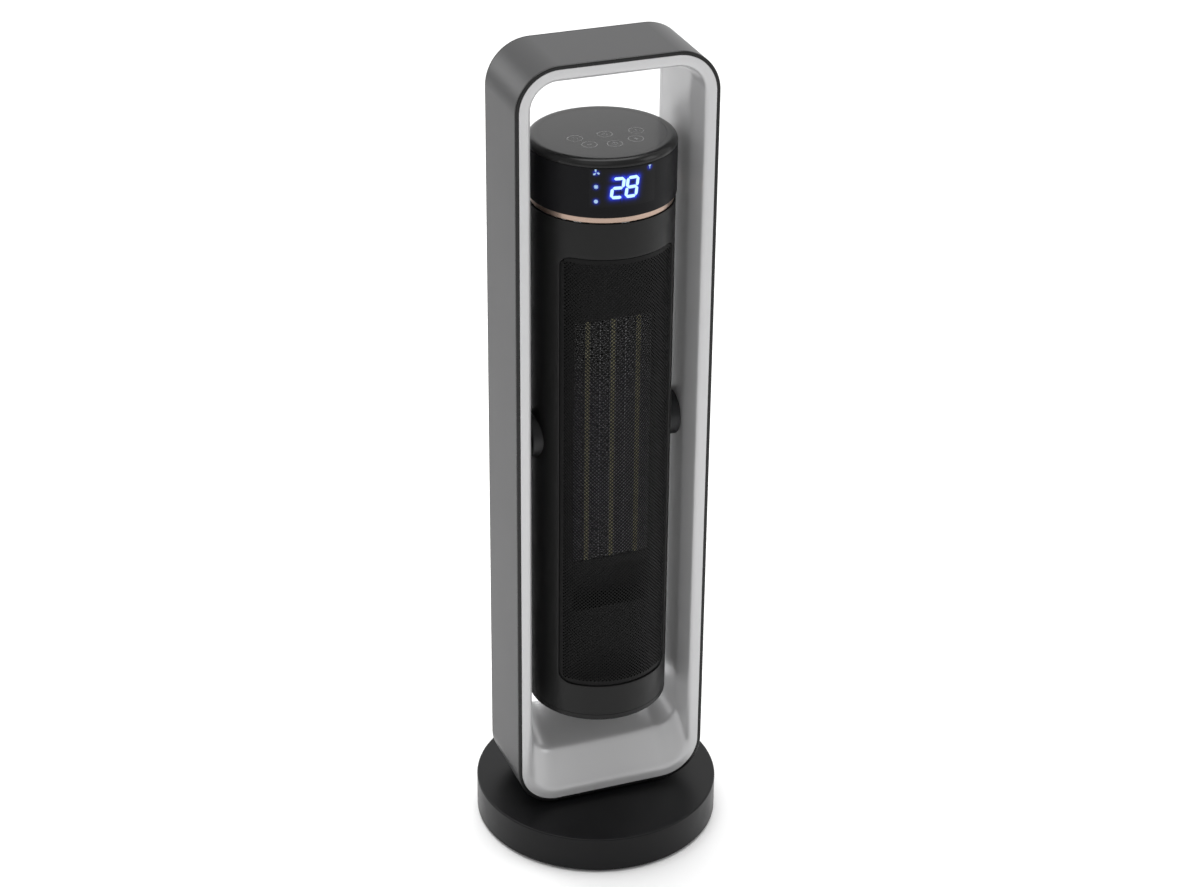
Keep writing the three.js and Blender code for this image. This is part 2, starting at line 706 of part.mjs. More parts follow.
function turntableHub() {
  return revolve([
    [HUB_BORE, GEAR_BOTTOM],
    [HUB_FOOT_RADIUS, GEAR_BOTTOM],
    [HUB_FOOT_RADIUS, COLLAR_BOTTOM],
    [HUB_RADIUS, COLLAR_BOTTOM],
    [HUB_RADIUS, BASE_TOP + GAP],
    [TURNTABLE_RADIUS, BASE_TOP + GAP],
    [TURNTABLE_RADIUS, FRAME_BOTTOM - GAP],
    [HUB_RADIUS, FRAME_BOTTOM - GAP],
    [HUB_RADIUS, HUB_TOP],
    [HUB_BORE, HUB_TOP],
    [HUB_BORE, GEAR_BOTTOM],
  ], HUB_SEGMENTS);
}

function hubGear() {
  const teeth = toothPoints(HUB_TEETH, SECTOR_TEETH, REAR);
  const last = teeth[teeth.length - 1];
  const first = teeth[0];
  const shape = new THREE.Shape(teeth);
  shape.lineTo(GEAR_RIM * Math.cos(last.angle()), GEAR_RIM * Math.sin(last.angle()));
  shape.lineTo(GEAR_RIM * Math.cos(first.angle()), GEAR_RIM * Math.sin(first.angle()));
  shape.closePath();
  const top = GEAR_BOTTOM + GEAR_THICKNESS;
  const ring = disc(GEAR_RING, GEAR_BOTTOM, top, HUB_SEGMENTS);
  const wheel = join(extrudeUp(shape, GEAR_BOTTOM, top), ring);
  return cut(wheel, disc(HUB_FOOT_RADIUS + GAP, GEAR_BOTTOM - 1, top + 1, HUB_SEGMENTS));
}

// Flanged bush in the right-hand wall; the left one is the same bush turned round.
function pivotBushing() {
  const bore = PIN_RADIUS + PIN_CLEARANCE;
  const sleeve = tube(bore, BUSHING_RADIUS, SEAT_FACE + 0.2, BUSHING_END, SMALL_SEGMENTS);
  const flange = tube(bore, BUSHING_FLANGE, ...FLANGE_SPAN, SMALL_SEGMENTS);
  return join(sleeve, flange).rotate([0, 90, 0]);
}

function makeFrame() {
  const bushings = ["right", "left"].map((side) => {
    const bush = piece(`pivot_bushing_${side}`, pivotBushing(), "whiteNylon");
    bush.position.z = PIVOT_HEIGHT;
    bush.rotation.z = side === "left" ? Math.PI : 0;
    return bush;
  });
  const lengths = (liner, made) =>
    Object.entries(made).map(([part, length]) => piece(`${liner}_${part}`, length, "linerGrey"));
  return groupOf(
    piece("outer_band", outerBand(), "bandGrey"),
    piece("front_edge_trim", edgeTrim(true), "glossBlack"),
    piece("rear_edge_trim", edgeTrim(false), "glossBlack"),
    ...lengths("front_liner", frontLiner()),
    ...lengths("rear_liner", rearLiner()),
    ...lengths("liner_upright", linerUprights()),
    piece("turntable_hub", turntableHub(), "satinBlack"),
    piece("hub_gear", hubGear(), "whiteNylon"),
    ...bushings,
  );
}

// ---------------------------------------------------------------- heater body

const BODY_INNER = BODY_RADIUS - BODY_WALL;
const SHELL_BOTTOM = BODY_BOTTOM + CAP_HEIGHT + GAP;
const SPLIT = 0.14 * DEGREE; // half of the gap between the two shells
const BAND_WALL = 2.4;
const RING_WALL = 3.4;
const PANEL_SEAT = 2; // depth of the ledge that carries the touch panel
const PANEL_RECESS = 0.2;
const SEAT_WIDTH = 6;
const SEAT_THICKNESS = 2.4;
const LIP_HEIGHT = 4; // of the bottom cap's lip inside the casing
const LIP_WALL = 3;
const CAP_BEVEL = 1.6;
const PIN_BORE = 4;
const PIN_STEP = 70; // where the pin narrows to fit the bushing
const PIN_END = 88;
const BOSS_PIN = 8; // radius of the pin where it passes the casing
const GRILLE_GAP = 0.6;
const GRILLE_RECESS = 0.9;
const GRILLE_BORDER = 6;
const GRILLE_BAR = 4;
const GRILLE_ROWS = 2;
const GRILLE_COLUMNS = 6;
const DUCT_HALF = 54;
const DUCT_BOTTOM = 252;
const DUCT_TOP = 586;
const DUCT_FRONT = -38;
const DUCT_BACK = -8;
const DUCT_OPENING_HALF = 40;
const DUCT_OPENING = [300.5, 574.5]; // the air's way through the element
const POCKET_BOTTOM = 258; // of the pocket for the element's leads, closed behind
const SCREEN_HALF = 52.8; // a screen behind the front grille, round the opening
const SCREEN_SPAN = [176, 648];
const SCREEN_THICKNESS = 2;
const END_CAP_HEIGHT = 9;
const EAR_INNER = 54;
const EAR_OUTER = 60;
const EAR_DEPTH = [-16, 13];
const EAR_RISE = 14; // above and below the pivot
const CAP_HALF = 39.6; // of the element's end caps
const CAP_LIP = 1.5; // of the end caps past the element, in front and behind
const NOTCH_SPAN = [-30, -16]; // for the element's leads
const NOTCH_DEPTH = 1.2;
const CUTOUT_X = 22;
const CUTOUT_RADIUS = 5;
const TAB_HALVES = [3.5, 0.5];

function window(side, shrink, reach) {
  const [y0, y1] = side < 0 ? [-reach, -15] : [15, reach];
  const outline = roundedRectangle(
    -WINDOW_HALF + shrink,
    WINDOW_HALF - shrink,
    WINDOW_BOTTOM + shrink,
    WINDOW_TOP - shrink,
    WINDOW_RADIUS - shrink,
  );
  return extrudeBack(outline, y0, y1);
}

// Half of the casing, in front of the pivot axis (side -1) or behind it (side 1).
function bodyShell(side) {
  const middle = side < 0 ? FRONT : REAR;
  const from = middle - Math.PI / 2 + SPLIT;
  const to = middle + Math.PI / 2 - SPLIT;
  const wall = tubeSector(BODY_INNER, BODY_RADIUS, from, to, SHELL_BOTTOM, SHELL_TOP);
  const pinHole = rodX(BOSS_PIN + PIN_CLEARANCE, -80, 80).translate([0, 0, PIVOT_HEIGHT]);
  return cut(wall, window(side, 0, 80), pinHole);
}

// A curved panel of upright bars tied by cross bars, for the outlet in front and the intake behind.
function grille(side) {
  const wall = tube(BODY_INNER + 0.1, BODY_RADIUS - GRILLE_RECESS, WINDOW_BOTTOM, WINDOW_TOP);
  const panel = wall.intersect(window(side, GRILLE_GAP, 80));
  const border = GRILLE_BORDER;
  const bar = GRILLE_BAR;
  const height = (WINDOW_TOP - WINDOW_BOTTOM - 2 * border) / GRILLE_ROWS;
  const width = (2 * (WINDOW_HALF - border)) / GRILLE_COLUMNS;
  const [y0, y1] = side < 0 ? [-80, -15] : [15, 80];
  const openings = [];
  for (let row = 0; row < GRILLE_ROWS; row += 1) {
    for (let column = 0; column < GRILLE_COLUMNS; column += 1) {
      const left = -WINDOW_HALF + border + column * width + bar / 2;
      const low = WINDOW_BOTTOM + border + row * height + bar / 2;
      openings.push(box(left, left + width - bar, y0, y1, low, low + height - bar));
    }
  }
  return cut(panel, ...openings);
}

function displayBand() {
  return tube(BAND_RADIUS - BAND_WALL, BAND_RADIUS, RING_TOP + GAP, DISPLAY_TOP);
}

function accentRing() {
  return tube(RING_RADIUS - RING_WALL, RING_RADIUS, SHELL_TOP + GAP, RING_TOP);
}

function topCap() {
  const seat = BODY_TOP - PANEL_SEAT;
  const inner = PANEL_RADIUS - SEAT_WIDTH;
  const wall = BAND_RADIUS - BAND_WALL;
  const under = seat - SEAT_THICKNESS;
  const arc = [0, 45, 90].map((degrees) => [
    BAND_RADIUS - CAP_RIM + CAP_RIM * Math.cos(degrees * DEGREE),
    BODY_TOP - CAP_RIM + CAP_RIM * Math.sin(degrees * DEGREE),
  ]);
  const bottom = DISPLAY_TOP + GAP;
  return revolve([
    [inner, under],
    [wall, under],
    [wall, bottom],
    [BAND_RADIUS, bottom],
    ...arc,
    [PANEL_RADIUS + GAP, BODY_TOP],
    [PANEL_RADIUS + GAP, seat],
    [inner, seat],
    [inner, under],
  ]);
}

function touchPanel() {
  return disc(PANEL_RADIUS, BODY_TOP - PANEL_SEAT + GAP, BODY_TOP - PANEL_RECESS);
}

function bottomCap() {
  const rim = BODY_BOTTOM + CAP_HEIGHT;
  return revolve([
    [0, BODY_BOTTOM],
    [BODY_RADIUS - CAP_BEVEL, BODY_BOTTOM],
    [BODY_RADIUS, BODY_BOTTOM + CAP_BEVEL],
    [BODY_RADIUS, rim],
    [BODY_INNER - GAP, rim],
    [BODY_INNER - GAP, rim + LIP_HEIGHT],
    [BODY_INNER - LIP_WALL, rim + LIP_HEIGHT],
    [BODY_INNER - LIP_WALL, BODY_BOTTOM + LIP_WALL],
    [0, BODY_BOTTOM + LIP_WALL],
  ]);
}

// Round boss outside the casing with a hollow pin through it, drawn for the right-hand side.
function pivotTrunnion() {
  const boss = cut(
    rodX(BOSS_RADIUS, EAR_INNER + 1, BOSS_END, MIDDLE_SEGMENTS),
    disc(BODY_RADIUS + GAP, -50, 50),
  );
  const innerPin = rodX(BOSS_PIN, EAR_INNER - 2, PIN_STEP);
  const outerPin = rodX(PIN_RADIUS, PIN_STEP, PIN_END);
  return cut(join(boss, innerPin, outerPin), rodX(PIN_BORE, 40, 100, SMALL_SEGMENTS));
}

function heaterDuct() {
  const [low, high] = DUCT_OPENING;
  const half = DUCT_OPENING_HALF;
  const around = box(-DUCT_HALF, DUCT_HALF, DUCT_FRONT, DUCT_BACK, DUCT_BOTTOM, DUCT_TOP);
  const screen = box(-SCREEN_HALF, SCREEN_HALF, DUCT_FRONT, DUCT_FRONT + SCREEN_THICKNESS, ...SCREEN_SPAN);
  const inside = box(-half, half, DUCT_FRONT - 1, DUCT_BACK + 1, low, high);
  const pocket = box(-half, half, DUCT_FRONT - 1, DUCT_BACK - 3, POCKET_BOTTOM, low + 1);
  const ears = [-1, 1].map((side) => {
    const near = side > 0 ? DUCT_HALF - 4 : -EAR_OUTER;
    const far = side > 0 ? EAR_OUTER : -DUCT_HALF + 4;
    return box(near, far, ...EAR_DEPTH, PIVOT_HEIGHT - EAR_RISE, PIVOT_HEIGHT + EAR_RISE);
  });
  const [reliefLow, reliefHigh] = [PIVOT_HEIGHT - EAR_RISE - 6, PIVOT_HEIGHT + EAR_RISE + 6];
  const relief = box(-EAR_INNER, EAR_INNER, DUCT_BACK, 30, reliefLow, reliefHigh);
  const pins = rodX(BOSS_PIN + GAP, -70, 70).translate([0, 0, PIVOT_HEIGHT]);
  const corner = tube(BODY_INNER - GAP, 120, SCREEN_SPAN[0] - 1, SCREEN_SPAN[1] + 1);
  return cut(join(around, screen, ...ears), inside, pocket, relief, pins, corner);
}

// Three ceramic bars stand between four packs of fins: single packs outside, double packs inside.
function elementColumns() {
  const pitch = (2 * ELEMENT_HALF) / 3;
  const bars = [-pitch, 0, pitch];
  const edges = [-ELEMENT_HALF, ...bars, ELEMENT_HALF];
  const packs = edges.slice(1).map((right, i) => {
    const nearBar = BAR_THICKNESS / 2 + GAP;
    const from = i === 0 ? edges[i] : edges[i] + nearBar;
    const to = i === edges.length - 2 ? right : right - nearBar;
    return [from, to];
  });
  return { bars, packs };
}

function rectangle(left, right, bottom, top) {
  return [[left, bottom], [right, bottom], [right, top], [left, top]].map(
    ([x, z]) => new THREE.Vector2(x, z),
  );
}

// Cross fins along Z between two thin side plates.
function finPack(from, to) {
  const plate = 0.7;
  const fin = 1.1;
  const count = FIN_COUNT;
  const pitch = (ELEMENT_TOP - ELEMENT_BOTTOM - fin) / count;
  const shape = new THREE.Shape(rectangle(from, to, ELEMENT_BOTTOM, ELEMENT_TOP));
  for (let i = 0; i < count; i += 1) {
    const low = ELEMENT_BOTTOM + fin + i * pitch;
    shape.holes.push(new THREE.Path(rectangle(from + plate, to - plate, low, low + pitch - fin)));
  }
  return extrudeBack(shape, ELEMENT_FRONT, ELEMENT_FRONT + ELEMENT_DEPTH);
}

function ceramicBar(x) {
  const half = BAR_THICKNESS / 2;
  const back = ELEMENT_FRONT + ELEMENT_DEPTH;
  return box(x - half, x + half, ELEMENT_FRONT, back, ELEMENT_BOTTOM, ELEMENT_TOP);
}

function elementCap(bottom) {
  const front = ELEMENT_FRONT - CAP_LIP;
  const back = ELEMENT_FRONT + ELEMENT_DEPTH + CAP_LIP;
  const top = bottom + END_CAP_HEIGHT;
  const cap = box(-CAP_HALF, CAP_HALF, front, back, bottom, top);
  const notch = box(...NOTCH_SPAN, front - 1, front + NOTCH_DEPTH, bottom - 1, top + 1);
  return cut(cap, notch);
}

function thermalCutout() {
  const back = ELEMENT_FRONT + ELEMENT_DEPTH + CAP_LIP + GAP;
  const [tabX, tabZ] = TAB_HALVES;
  const button = rodY(CUTOUT_RADIUS, back, back + 5);
  const tabs = box(-tabX, tabX, back + 4, back + 9, -tabZ, tabZ);
  return join(button, tabs).translate([CUTOUT_X, 0, ELEMENT_TOP + GAP + END_CAP_HEIGHT / 2]);
}

function blowerWheel() {
  const [bottom, top] = [WHEEL_BOTTOM, WHEEL_TOP];
  const heights = [bottom, (bottom + top) / 2, top - PLATE_SPAN];
  const plates = heights.map((z, i) =>
    i === 1
      ? tube(WHEEL_RADIUS - 7, WHEEL_RADIUS, z, z + PLATE_SPAN, WHEEL_SEGMENTS)
      : disc(WHEEL_RADIUS, z, z + PLATE_SPAN, WHEEL_SEGMENTS),
  );
  // each blade leans about its outer edge
  const blade = box(-6.2, -0.6, -0.5, 0.5, bottom + 0.5, top - 0.5);
  const leaning = blade.rotate([0, 0, BLADE_LEAN]).translate([WHEEL_RADIUS, 0, 0]);
  const blades = Array.from({ length: BLADE_COUNT }, (_, i) =>
    leaning.rotate([0, 0, (360 * i) / BLADE_COUNT]),
  );
  const stubs = [
    disc(SHAFT_RADIUS, bottom - 16, bottom + 1, SMALL_SEGMENTS),
    disc(SHAFT_RADIUS, top - 1, top + 19, SMALL_SEGMENTS),
  ];
  return join(...plates, ...blades, ...stubs);
}

// Scroll wall that wraps one side of the wheel between two bearing plates.
function scrollHousing() {
  const bottom = WHEEL_BOTTOM - HOUSING_BELOW;
  const top = WHEEL_TOP + HOUSING_ABOVE;
  const [inner, outer] = SCROLL_RADII;
  const wall = tubeSector(inner, outer, ...SCROLL_ARC, bottom, top, 5);
  const tongue = tubeSector(inner - TONGUE_THICKNESS, inner, ...TONGUE_ARC, bottom, top, 2);
  const lower = tube(SHAFT_RADIUS + 1, outer, bottom, bottom + HOUSING_PLATE, WHEEL_SEGMENTS);
  const bore = SHAFT_RADIUS + SHAFT_CLEARANCE;
  const upper = tube(bore, outer, top - HOUSING_PLATE, top, WHEEL_SEGMENTS);
  return join(wall, tongue, lower, upper);
}

function blowerMotor() {
  const top = WHEEL_BOTTOM - HOUSING_BELOW - GAP;
  const can = disc(FAN_MOTOR_RADIUS, top - FAN_MOTOR_HEIGHT, top - 2, MIDDLE_SEGMENTS);
  const nose = disc(FAN_MOTOR_NOSE, top - 3, top, SMALL_SEGMENTS);
  const bore = disc(SHAFT_RADIUS + SHAFT_CLEARANCE, WHEEL_BOTTOM - 20, top + 1, SMALL_SEGMENTS);
  return cut(join(can, nose), bore);
}

function wheelBearing() {
  const bottom = WHEEL_TOP + HOUSING_ABOVE + GAP;
  return tube(BEARING_BORE, BEARING_RADIUS, bottom, bottom + BEARING_HEIGHT, SMALL_SEGMENTS);
}

function controlBoard() {
  const bottom = CONTROL_LEVEL;
  const top = bottom + BOARD_THICKNESS;
  const flat = box(-60, 60, -60, CONTROL_FLAT, bottom - 1, top + 1);
  const board = cut(disc(CONTROL_RADIUS, bottom, top, MIDDLE_SEGMENTS), flat);
  const relay = box(-24, -6, -10, 6, top - 0.2, top + 9.4);
  const capacitor = disc(5, top - 0.2, top + 8.4, SMALL_SEGMENTS).translate([14, 10, 0]);
  return join(board, relay, capacitor);
}

function displayBoard() {
  const back = DISPLAY_BOARD_BACK;
  const front = back - BOARD_THICKNESS;
  const [low, high] = DISPLAY_BOARD_SPAN;
  const board = box(-34, 34, front, back, low, high);
  const module = box(-20, 20, front - 4.4, front + 0.6, low + 6, high - 6);
  return join(board, module);
}

function makeHeaterBody() {
  const trunnions = ["right", "left"].map((side) => {
    const pin = piece(`pivot_trunnion_${side}`, pivotTrunnion(), "satinBlack");
    pin.position.z = PIVOT_HEIGHT;
    pin.rotation.z = side === "left" ? Math.PI : 0;
    return pin;
  });
  const { bars, packs } = elementColumns();
  const blower = groupOf(
    piece("blower_wheel", blowerWheel(), "satinBlack"),
    piece("scroll_housing", scrollHousing(), "satinBlack"),
    piece("blower_motor", blowerMotor(), "steel"),
    piece("wheel_bearing", wheelBearing(), "steel"),
  );
  blower.position.y = WHEEL_AXIS;
  return groupOf(
    piece("front_shell", bodyShell(-1), "satinBlack"),
    piece("rear_shell", bodyShell(1), "satinBlack"),
    piece("front_grille", grille(-1), "satinBlack"),
    piece("intake_grille", grille(1), "satinBlack"),
    piece("display_band", displayBand(), "glossBlack"),
    piece("accent_ring", accentRing(), "roseGold"),
    piece("top_cap", topCap(), "satinBlack"),
    piece("touch_panel", touchPanel(), "panelGrey"),
    piece("bottom_cap", bottomCap(), "satinBlack"),
    piece("heater_duct", heaterDuct(), "satinBlack"),
    piece("element_cap_bottom", elementCap(ELEMENT_BOTTOM - GAP - END_CAP_HEIGHT), "ironGrey"),
    piece("element_cap_top", elementCap(ELEMENT_TOP + GAP), "ironGrey"),
    piece("thermal_cutout", thermalCutout(), "steel"),
    piece("control_board", controlBoard(), "boardGreen"),
    piece("display_board", displayBoard(), "boardGreen"),
    ...bars.map((x, i) => piece(`ceramic_bar_${i + 1}`, ceramicBar(x), "ceramic")),
    ...packs.map(([from, to], i) => piece(`fin_pack_${i + 1}`, finPack(from, to), "aluminium")),
    ...trunnions,
    blower,
  );
}

// ---------------------------------------------------------------- the whole heater

const heater = groupOf(makeBase(), makeFrame(), makeHeaterBody());
heater.name = "ceramic_tower_heater";

export default heater;
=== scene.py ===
# A ceramic tower heater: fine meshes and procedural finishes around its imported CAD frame.
import math

import bmesh
import bpy
import numpy as np
from mathutils import Matrix, Vector


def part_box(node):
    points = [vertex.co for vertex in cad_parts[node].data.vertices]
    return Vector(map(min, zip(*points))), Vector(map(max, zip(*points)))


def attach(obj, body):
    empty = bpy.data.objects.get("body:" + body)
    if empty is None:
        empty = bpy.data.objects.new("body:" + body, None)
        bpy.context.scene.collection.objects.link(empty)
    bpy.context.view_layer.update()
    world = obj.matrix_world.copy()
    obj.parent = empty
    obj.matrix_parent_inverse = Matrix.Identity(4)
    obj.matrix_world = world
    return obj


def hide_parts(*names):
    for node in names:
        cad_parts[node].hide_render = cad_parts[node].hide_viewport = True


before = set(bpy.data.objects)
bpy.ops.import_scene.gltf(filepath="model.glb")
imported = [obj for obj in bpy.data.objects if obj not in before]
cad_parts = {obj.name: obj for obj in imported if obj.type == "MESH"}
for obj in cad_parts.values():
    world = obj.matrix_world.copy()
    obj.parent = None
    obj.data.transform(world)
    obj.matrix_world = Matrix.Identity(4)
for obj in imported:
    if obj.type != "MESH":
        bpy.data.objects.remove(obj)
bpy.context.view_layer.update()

MM = 0.001
FULL_TURN = 2 * math.pi

# ---------------------------------------------------------------- places, from the frame

base_low, base_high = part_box("base_cover")
BASE_RADIUS = base_high.x
BASE_BOTTOM = base_low.z
BASE_TOP = base_high.z

band_low, band_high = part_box("outer_band")
FRAME_HALF = band_high.x
FRAME_FOOT = band_low.z
FRAME_HEAD = band_high.z
BAND_FRONT = band_low.y
BAND_BACK = band_high.y
FRAME_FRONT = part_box("front_edge_trim")[0].y
FRAME_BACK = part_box("rear_edge_trim")[1].y
LINER_SPLIT_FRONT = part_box("front_liner_top")[1].y
LINER_SPLIT_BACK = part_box("rear_liner_top")[0].y

BODY_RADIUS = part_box("bottom_cap")[1].x
BODY_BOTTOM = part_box("bottom_cap")[0].z
SHELL_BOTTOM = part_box("front_shell")[0].z
SHELL_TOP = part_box("front_shell")[1].z
ring_low, ring_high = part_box("accent_ring")
display_low, display_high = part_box("display_band")
DISPLAY_RADIUS = display_high.x
cap_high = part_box("top_cap")[1]
panel_low, panel_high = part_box("touch_panel")
PANEL_TOP = cap_high.z - 0.05 * MM
grille_low, grille_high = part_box("front_grille")
pin_low, pin_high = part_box("pivot_trunnion_right")
PIVOT_HEIGHT = (pin_low.z + pin_high.z) / 2
BOSS_RADIUS = (pin_high.z - pin_low.z) / 2
wheel_low, wheel_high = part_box("blower_wheel")
WHEEL_AXIS = (wheel_low.y + wheel_high.y) / 2

# ---------------------------------------------------------------- sizes of the fine work

ROUND_STEPS = 192        # round the large cylinders
SMALL_STEPS = 48
CORNER_STEPS = 20        # in each corner of the frame
SEAM = 0.3 * MM          # gap between pieces that meet
FINE_SEAM = 0.1 * MM     # round the touch panel
EDGE_WIDTH = 3.4 * MM    # black trim on the frame's edges
BAND_WALL = 2 * MM
CORNER_RADIUS = 42 * MM  # of the frame's outer face
WINDOW_GAP = 0.6 * MM    # between a packed grille and its window
GROOVE = 1.3 * MM        # the open groove round a finished grille
WINDOW_HALF = grille_high.x + WINDOW_GAP
WINDOW_BOTTOM = grille_low.z - WINDOW_GAP
WINDOW_TOP = grille_high.z + WINDOW_GAP
WINDOW_CORNER = 10 * MM
SHELL_WALL = 2.5 * MM
BOSS_END = 74.4 * MM
PIN_HOLE = 8.4 * MM      # radius of the casing's holes for the pivot pins
MARK_DEPTH = 0.02 * MM   # of the touch marks below the panel's face

# ---------------------------------------------------------------- mesh building


def skin(loops, around=True, along=True):
    """Quads between loops of points: around closes each loop, along joins the last one to the first."""
    count, size = len(loops), len(loops[0])
    vertices = [point for loop in loops for point in loop]
    faces = []
    for k in range(count if along else count - 1):
        here, there = k * size, (k + 1) % count * size
        for i in range(size if around else size - 1):
            j = (i + 1) % size
            faces.append((here + i, here + j, there + j, there + i))
    return vertices, faces


def capped(loops):
    """A solid through the loops, closed by a face at each end."""
    vertices, faces = skin(loops, along=False)
    size, total = len(loops[0]), len(vertices)
    return vertices, [*faces, tuple(reversed(range(size))), tuple(range(total - size, total))]


def merged(*parts):
    """Several parts as one."""
    vertices, faces = [], []
    for part_vertices, part_faces in parts:
        start = len(vertices)
        vertices += list(part_vertices)
        faces += [tuple(start + i for i in face) for face in part_faces]
    return vertices, faces


def moved(part, matrix):
    return [tuple(matrix @ Vector(point)) for point in part[0]], part[1]


def fillet(corners, steps=4):
    """A closed outline through (a, b, radius) corners, each rounded to its radius."""
    outline = []
    for i, (a, b, radius) in enumerate(corners):
        here = Vector((a, b))
        before = (Vector(corners[i - 1][:2]) - here).normalized()
        after = (Vector(corners[(i + 1) % len(corners)][:2]) - here).normalized()
        half = before.angle(after) / 2
        if radius == 0 or half > math.radians(89):
            outline.append((a, b))
            continue
        centre = here + (before + after).normalized() * radius / math.sin(half)
        first = here + before * radius / math.tan(half) - centre
        last = here + after * radius / math.tan(half) - centre
        for step in range(steps + 1):
            share = step / steps
            outline.append(tuple(centre + first.lerp(last, share).normalized() * radius))
    return outline


def lathe(profile, steps=ROUND_STEPS):
    """A closed (radius, height) profile turned about Z."""
    loops = []
    for i in range(steps):
        angle = FULL_TURN * i / steps
        loops.append([(r * math.cos(angle), r * math.sin(angle), z) for r, z in profile])
    return skin(loops)


def rod(radius, low, high, steps=SMALL_STEPS, bore=0):
    """A round rod between two heights, solid or with a bore."""
    return lathe([(bore, low), (radius, low), (radius, high), (bore, high)], steps)


def along_x(part):
    """A part made along Z, turned to lie along X."""
    return moved(part, Matrix.Rotation(math.pi / 2, 4, "Y"))


def along_y(part):
    return moved(part, Matrix.Rotation(-math.pi / 2, 4, "X"))


def block(low, high):
    (x0, y0, z0), (x1, y1, z1) = low, high
    return capped([[(x0, y0, z), (x1, y0, z), (x1, y1, z), (x0, y1, z)] for z in (z0, z1)])


def prism(outline, low, high):
    """An outline of the XY plane between two heights."""
    return capped([[(x, y, z) for x, y in outline] for z in (low, high)])


def mesh_object(name, part, sharp=35):
    """A part as an object with merged corners, outward faces and smooth round stretches."""
    mesh = bpy.data.meshes.new(name)
    mesh.from_pydata(part[0], [], part[1])
    work = bmesh.new()
    work.from_mesh(mesh)
    bmesh.ops.remove_doubles(work, verts=work.verts, dist=1e-6)
    bmesh.ops.recalc_face_normals(work, faces=work.faces)
    work.to_mesh(mesh)
    work.free()
    made = bpy.data.objects.new(name, mesh)
    bpy.context.scene.collection.objects.link(made)
    smooth(made, sharp)
    return made


def smooth(made, sharp):
    made.data.shade_smooth()
    made.data.set_sharp_from_angle(angle=math.radians(sharp))


def applied(made):
    """Makes an object's modifiers part of its mesh."""
    bpy.context.view_layer.update()
    shown = made.evaluated_get(bpy.context.evaluated_depsgraph_get())
    made.data = bpy.data.meshes.new_from_object(shown)
    made.modifiers.clear()


def combine(made, operation, *tools, sharp=35):
    """Cuts the tool parts from an object, or joins them to it."""
    for i, tool in enumerate(tools):
        helper = mesh_object(f"tool_{i}", tool)
        step = made.modifiers.new("step", "BOOLEAN")
        step.operation = operation
        step.solver = "EXACT"
        step.object = helper
        applied(made)
        bpy.data.objects.remove(helper)
    smooth(made, sharp)
    return made


def add_bevel(made, width, angle):
    """Rounds the edges that turn by more than an angle, as a modifier."""
    edge = made.modifiers.new("edges", "BEVEL")
    edge.width = width
    edge.segments = 2
    edge.limit_method = "ANGLE"
    edge.angle_limit = math.radians(angle)


def bevelled(made, width, angle=40):
    add_bevel(made, width, angle)
    applied(made)
    smooth(made, 50)
    return made


def even_normals(made):
    """Keeps flat faces flat next to their rounded edges."""
    weighted = made.modifiers.new("even_normals", "WEIGHTED_NORMAL")
    weighted.keep_sharp = True
    return made


def finished(made, finish, body, *nodes):
    """Gives an object its finish and its body, and hides the CAD nodes that it stands for."""
    made.data.materials.clear()
    made.data.materials.append(FINISHES[finish])
    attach(made, body)
    if nodes:
        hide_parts(*nodes)
    return made


def fine_piece(name, part, finish, body, sharp=35):
    """The fine mesh that stands for one CAD node."""
    return finished(mesh_object(name + "_fine", part, sharp), finish, body, name)


def middle_of(name):
    low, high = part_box(name)
    return (low + high) / 2


# ---------------------------------------------------------------- finishes


def node(tree, kind, **inputs):
    made = tree.nodes.new(kind)
    for name, value in inputs.items():
        made.inputs[name.replace("_", " ")].default_value = value
    return made


def noise(tree, place, size, detail=3, stretch=(1, 1, 1)):
    """Noise with features of about a size in millimetres, drawn out along an axis by stretch."""
    spread = node(tree, "ShaderNodeMapping", Scale=[1 / s for s in stretch])
    made = node(tree, "ShaderNodeTexNoise", Scale=1000 / size, Detail=detail)
    tree.links.new(place, spread.inputs["Vector"])
    tree.links.new(spread.outputs["Vector"], made.inputs["Vector"])
    return made.outputs["Fac"]


def ranged(tree, value, low, high, start=0.3, end=0.7):
    made = node(tree, "ShaderNodeMapRange")
    for name, number in (("From Min", start), ("From Max", end), ("To Min", low), ("To Max", high)):
        made.inputs[name].default_value = number
    tree.links.new(value, made.inputs["Value"])
    return made.outputs["Result"]


def shade(colour, factor):
    return [min(1, c * factor) for c in colour[:3]] + [1]


def blended(tree, share, under, over):
    """Two colours mixed by a share. Each is a colour or another node's output."""
    mix = tree.nodes.new("ShaderNodeMix")
    mix.data_type = "RGBA"
    for name, value in (("A_Color", under), ("B_Color", over)):
        socket = next(s for s in mix.inputs if s.identifier == name)
        if isinstance(value, bpy.types.NodeSocket):
            tree.links.new(value, socket)
        else:
            socket.default_value = value
    tree.links.new(share, mix.inputs["Factor"])
    return next(s for s in mix.outputs if s.identifier == "Result_Color")


def object_place(tree):
    """Where a point is on its object, from the finish's own coordinates node."""
    return next(n for n in tree.nodes if n.type == "TEX_COORD").outputs["Object"]


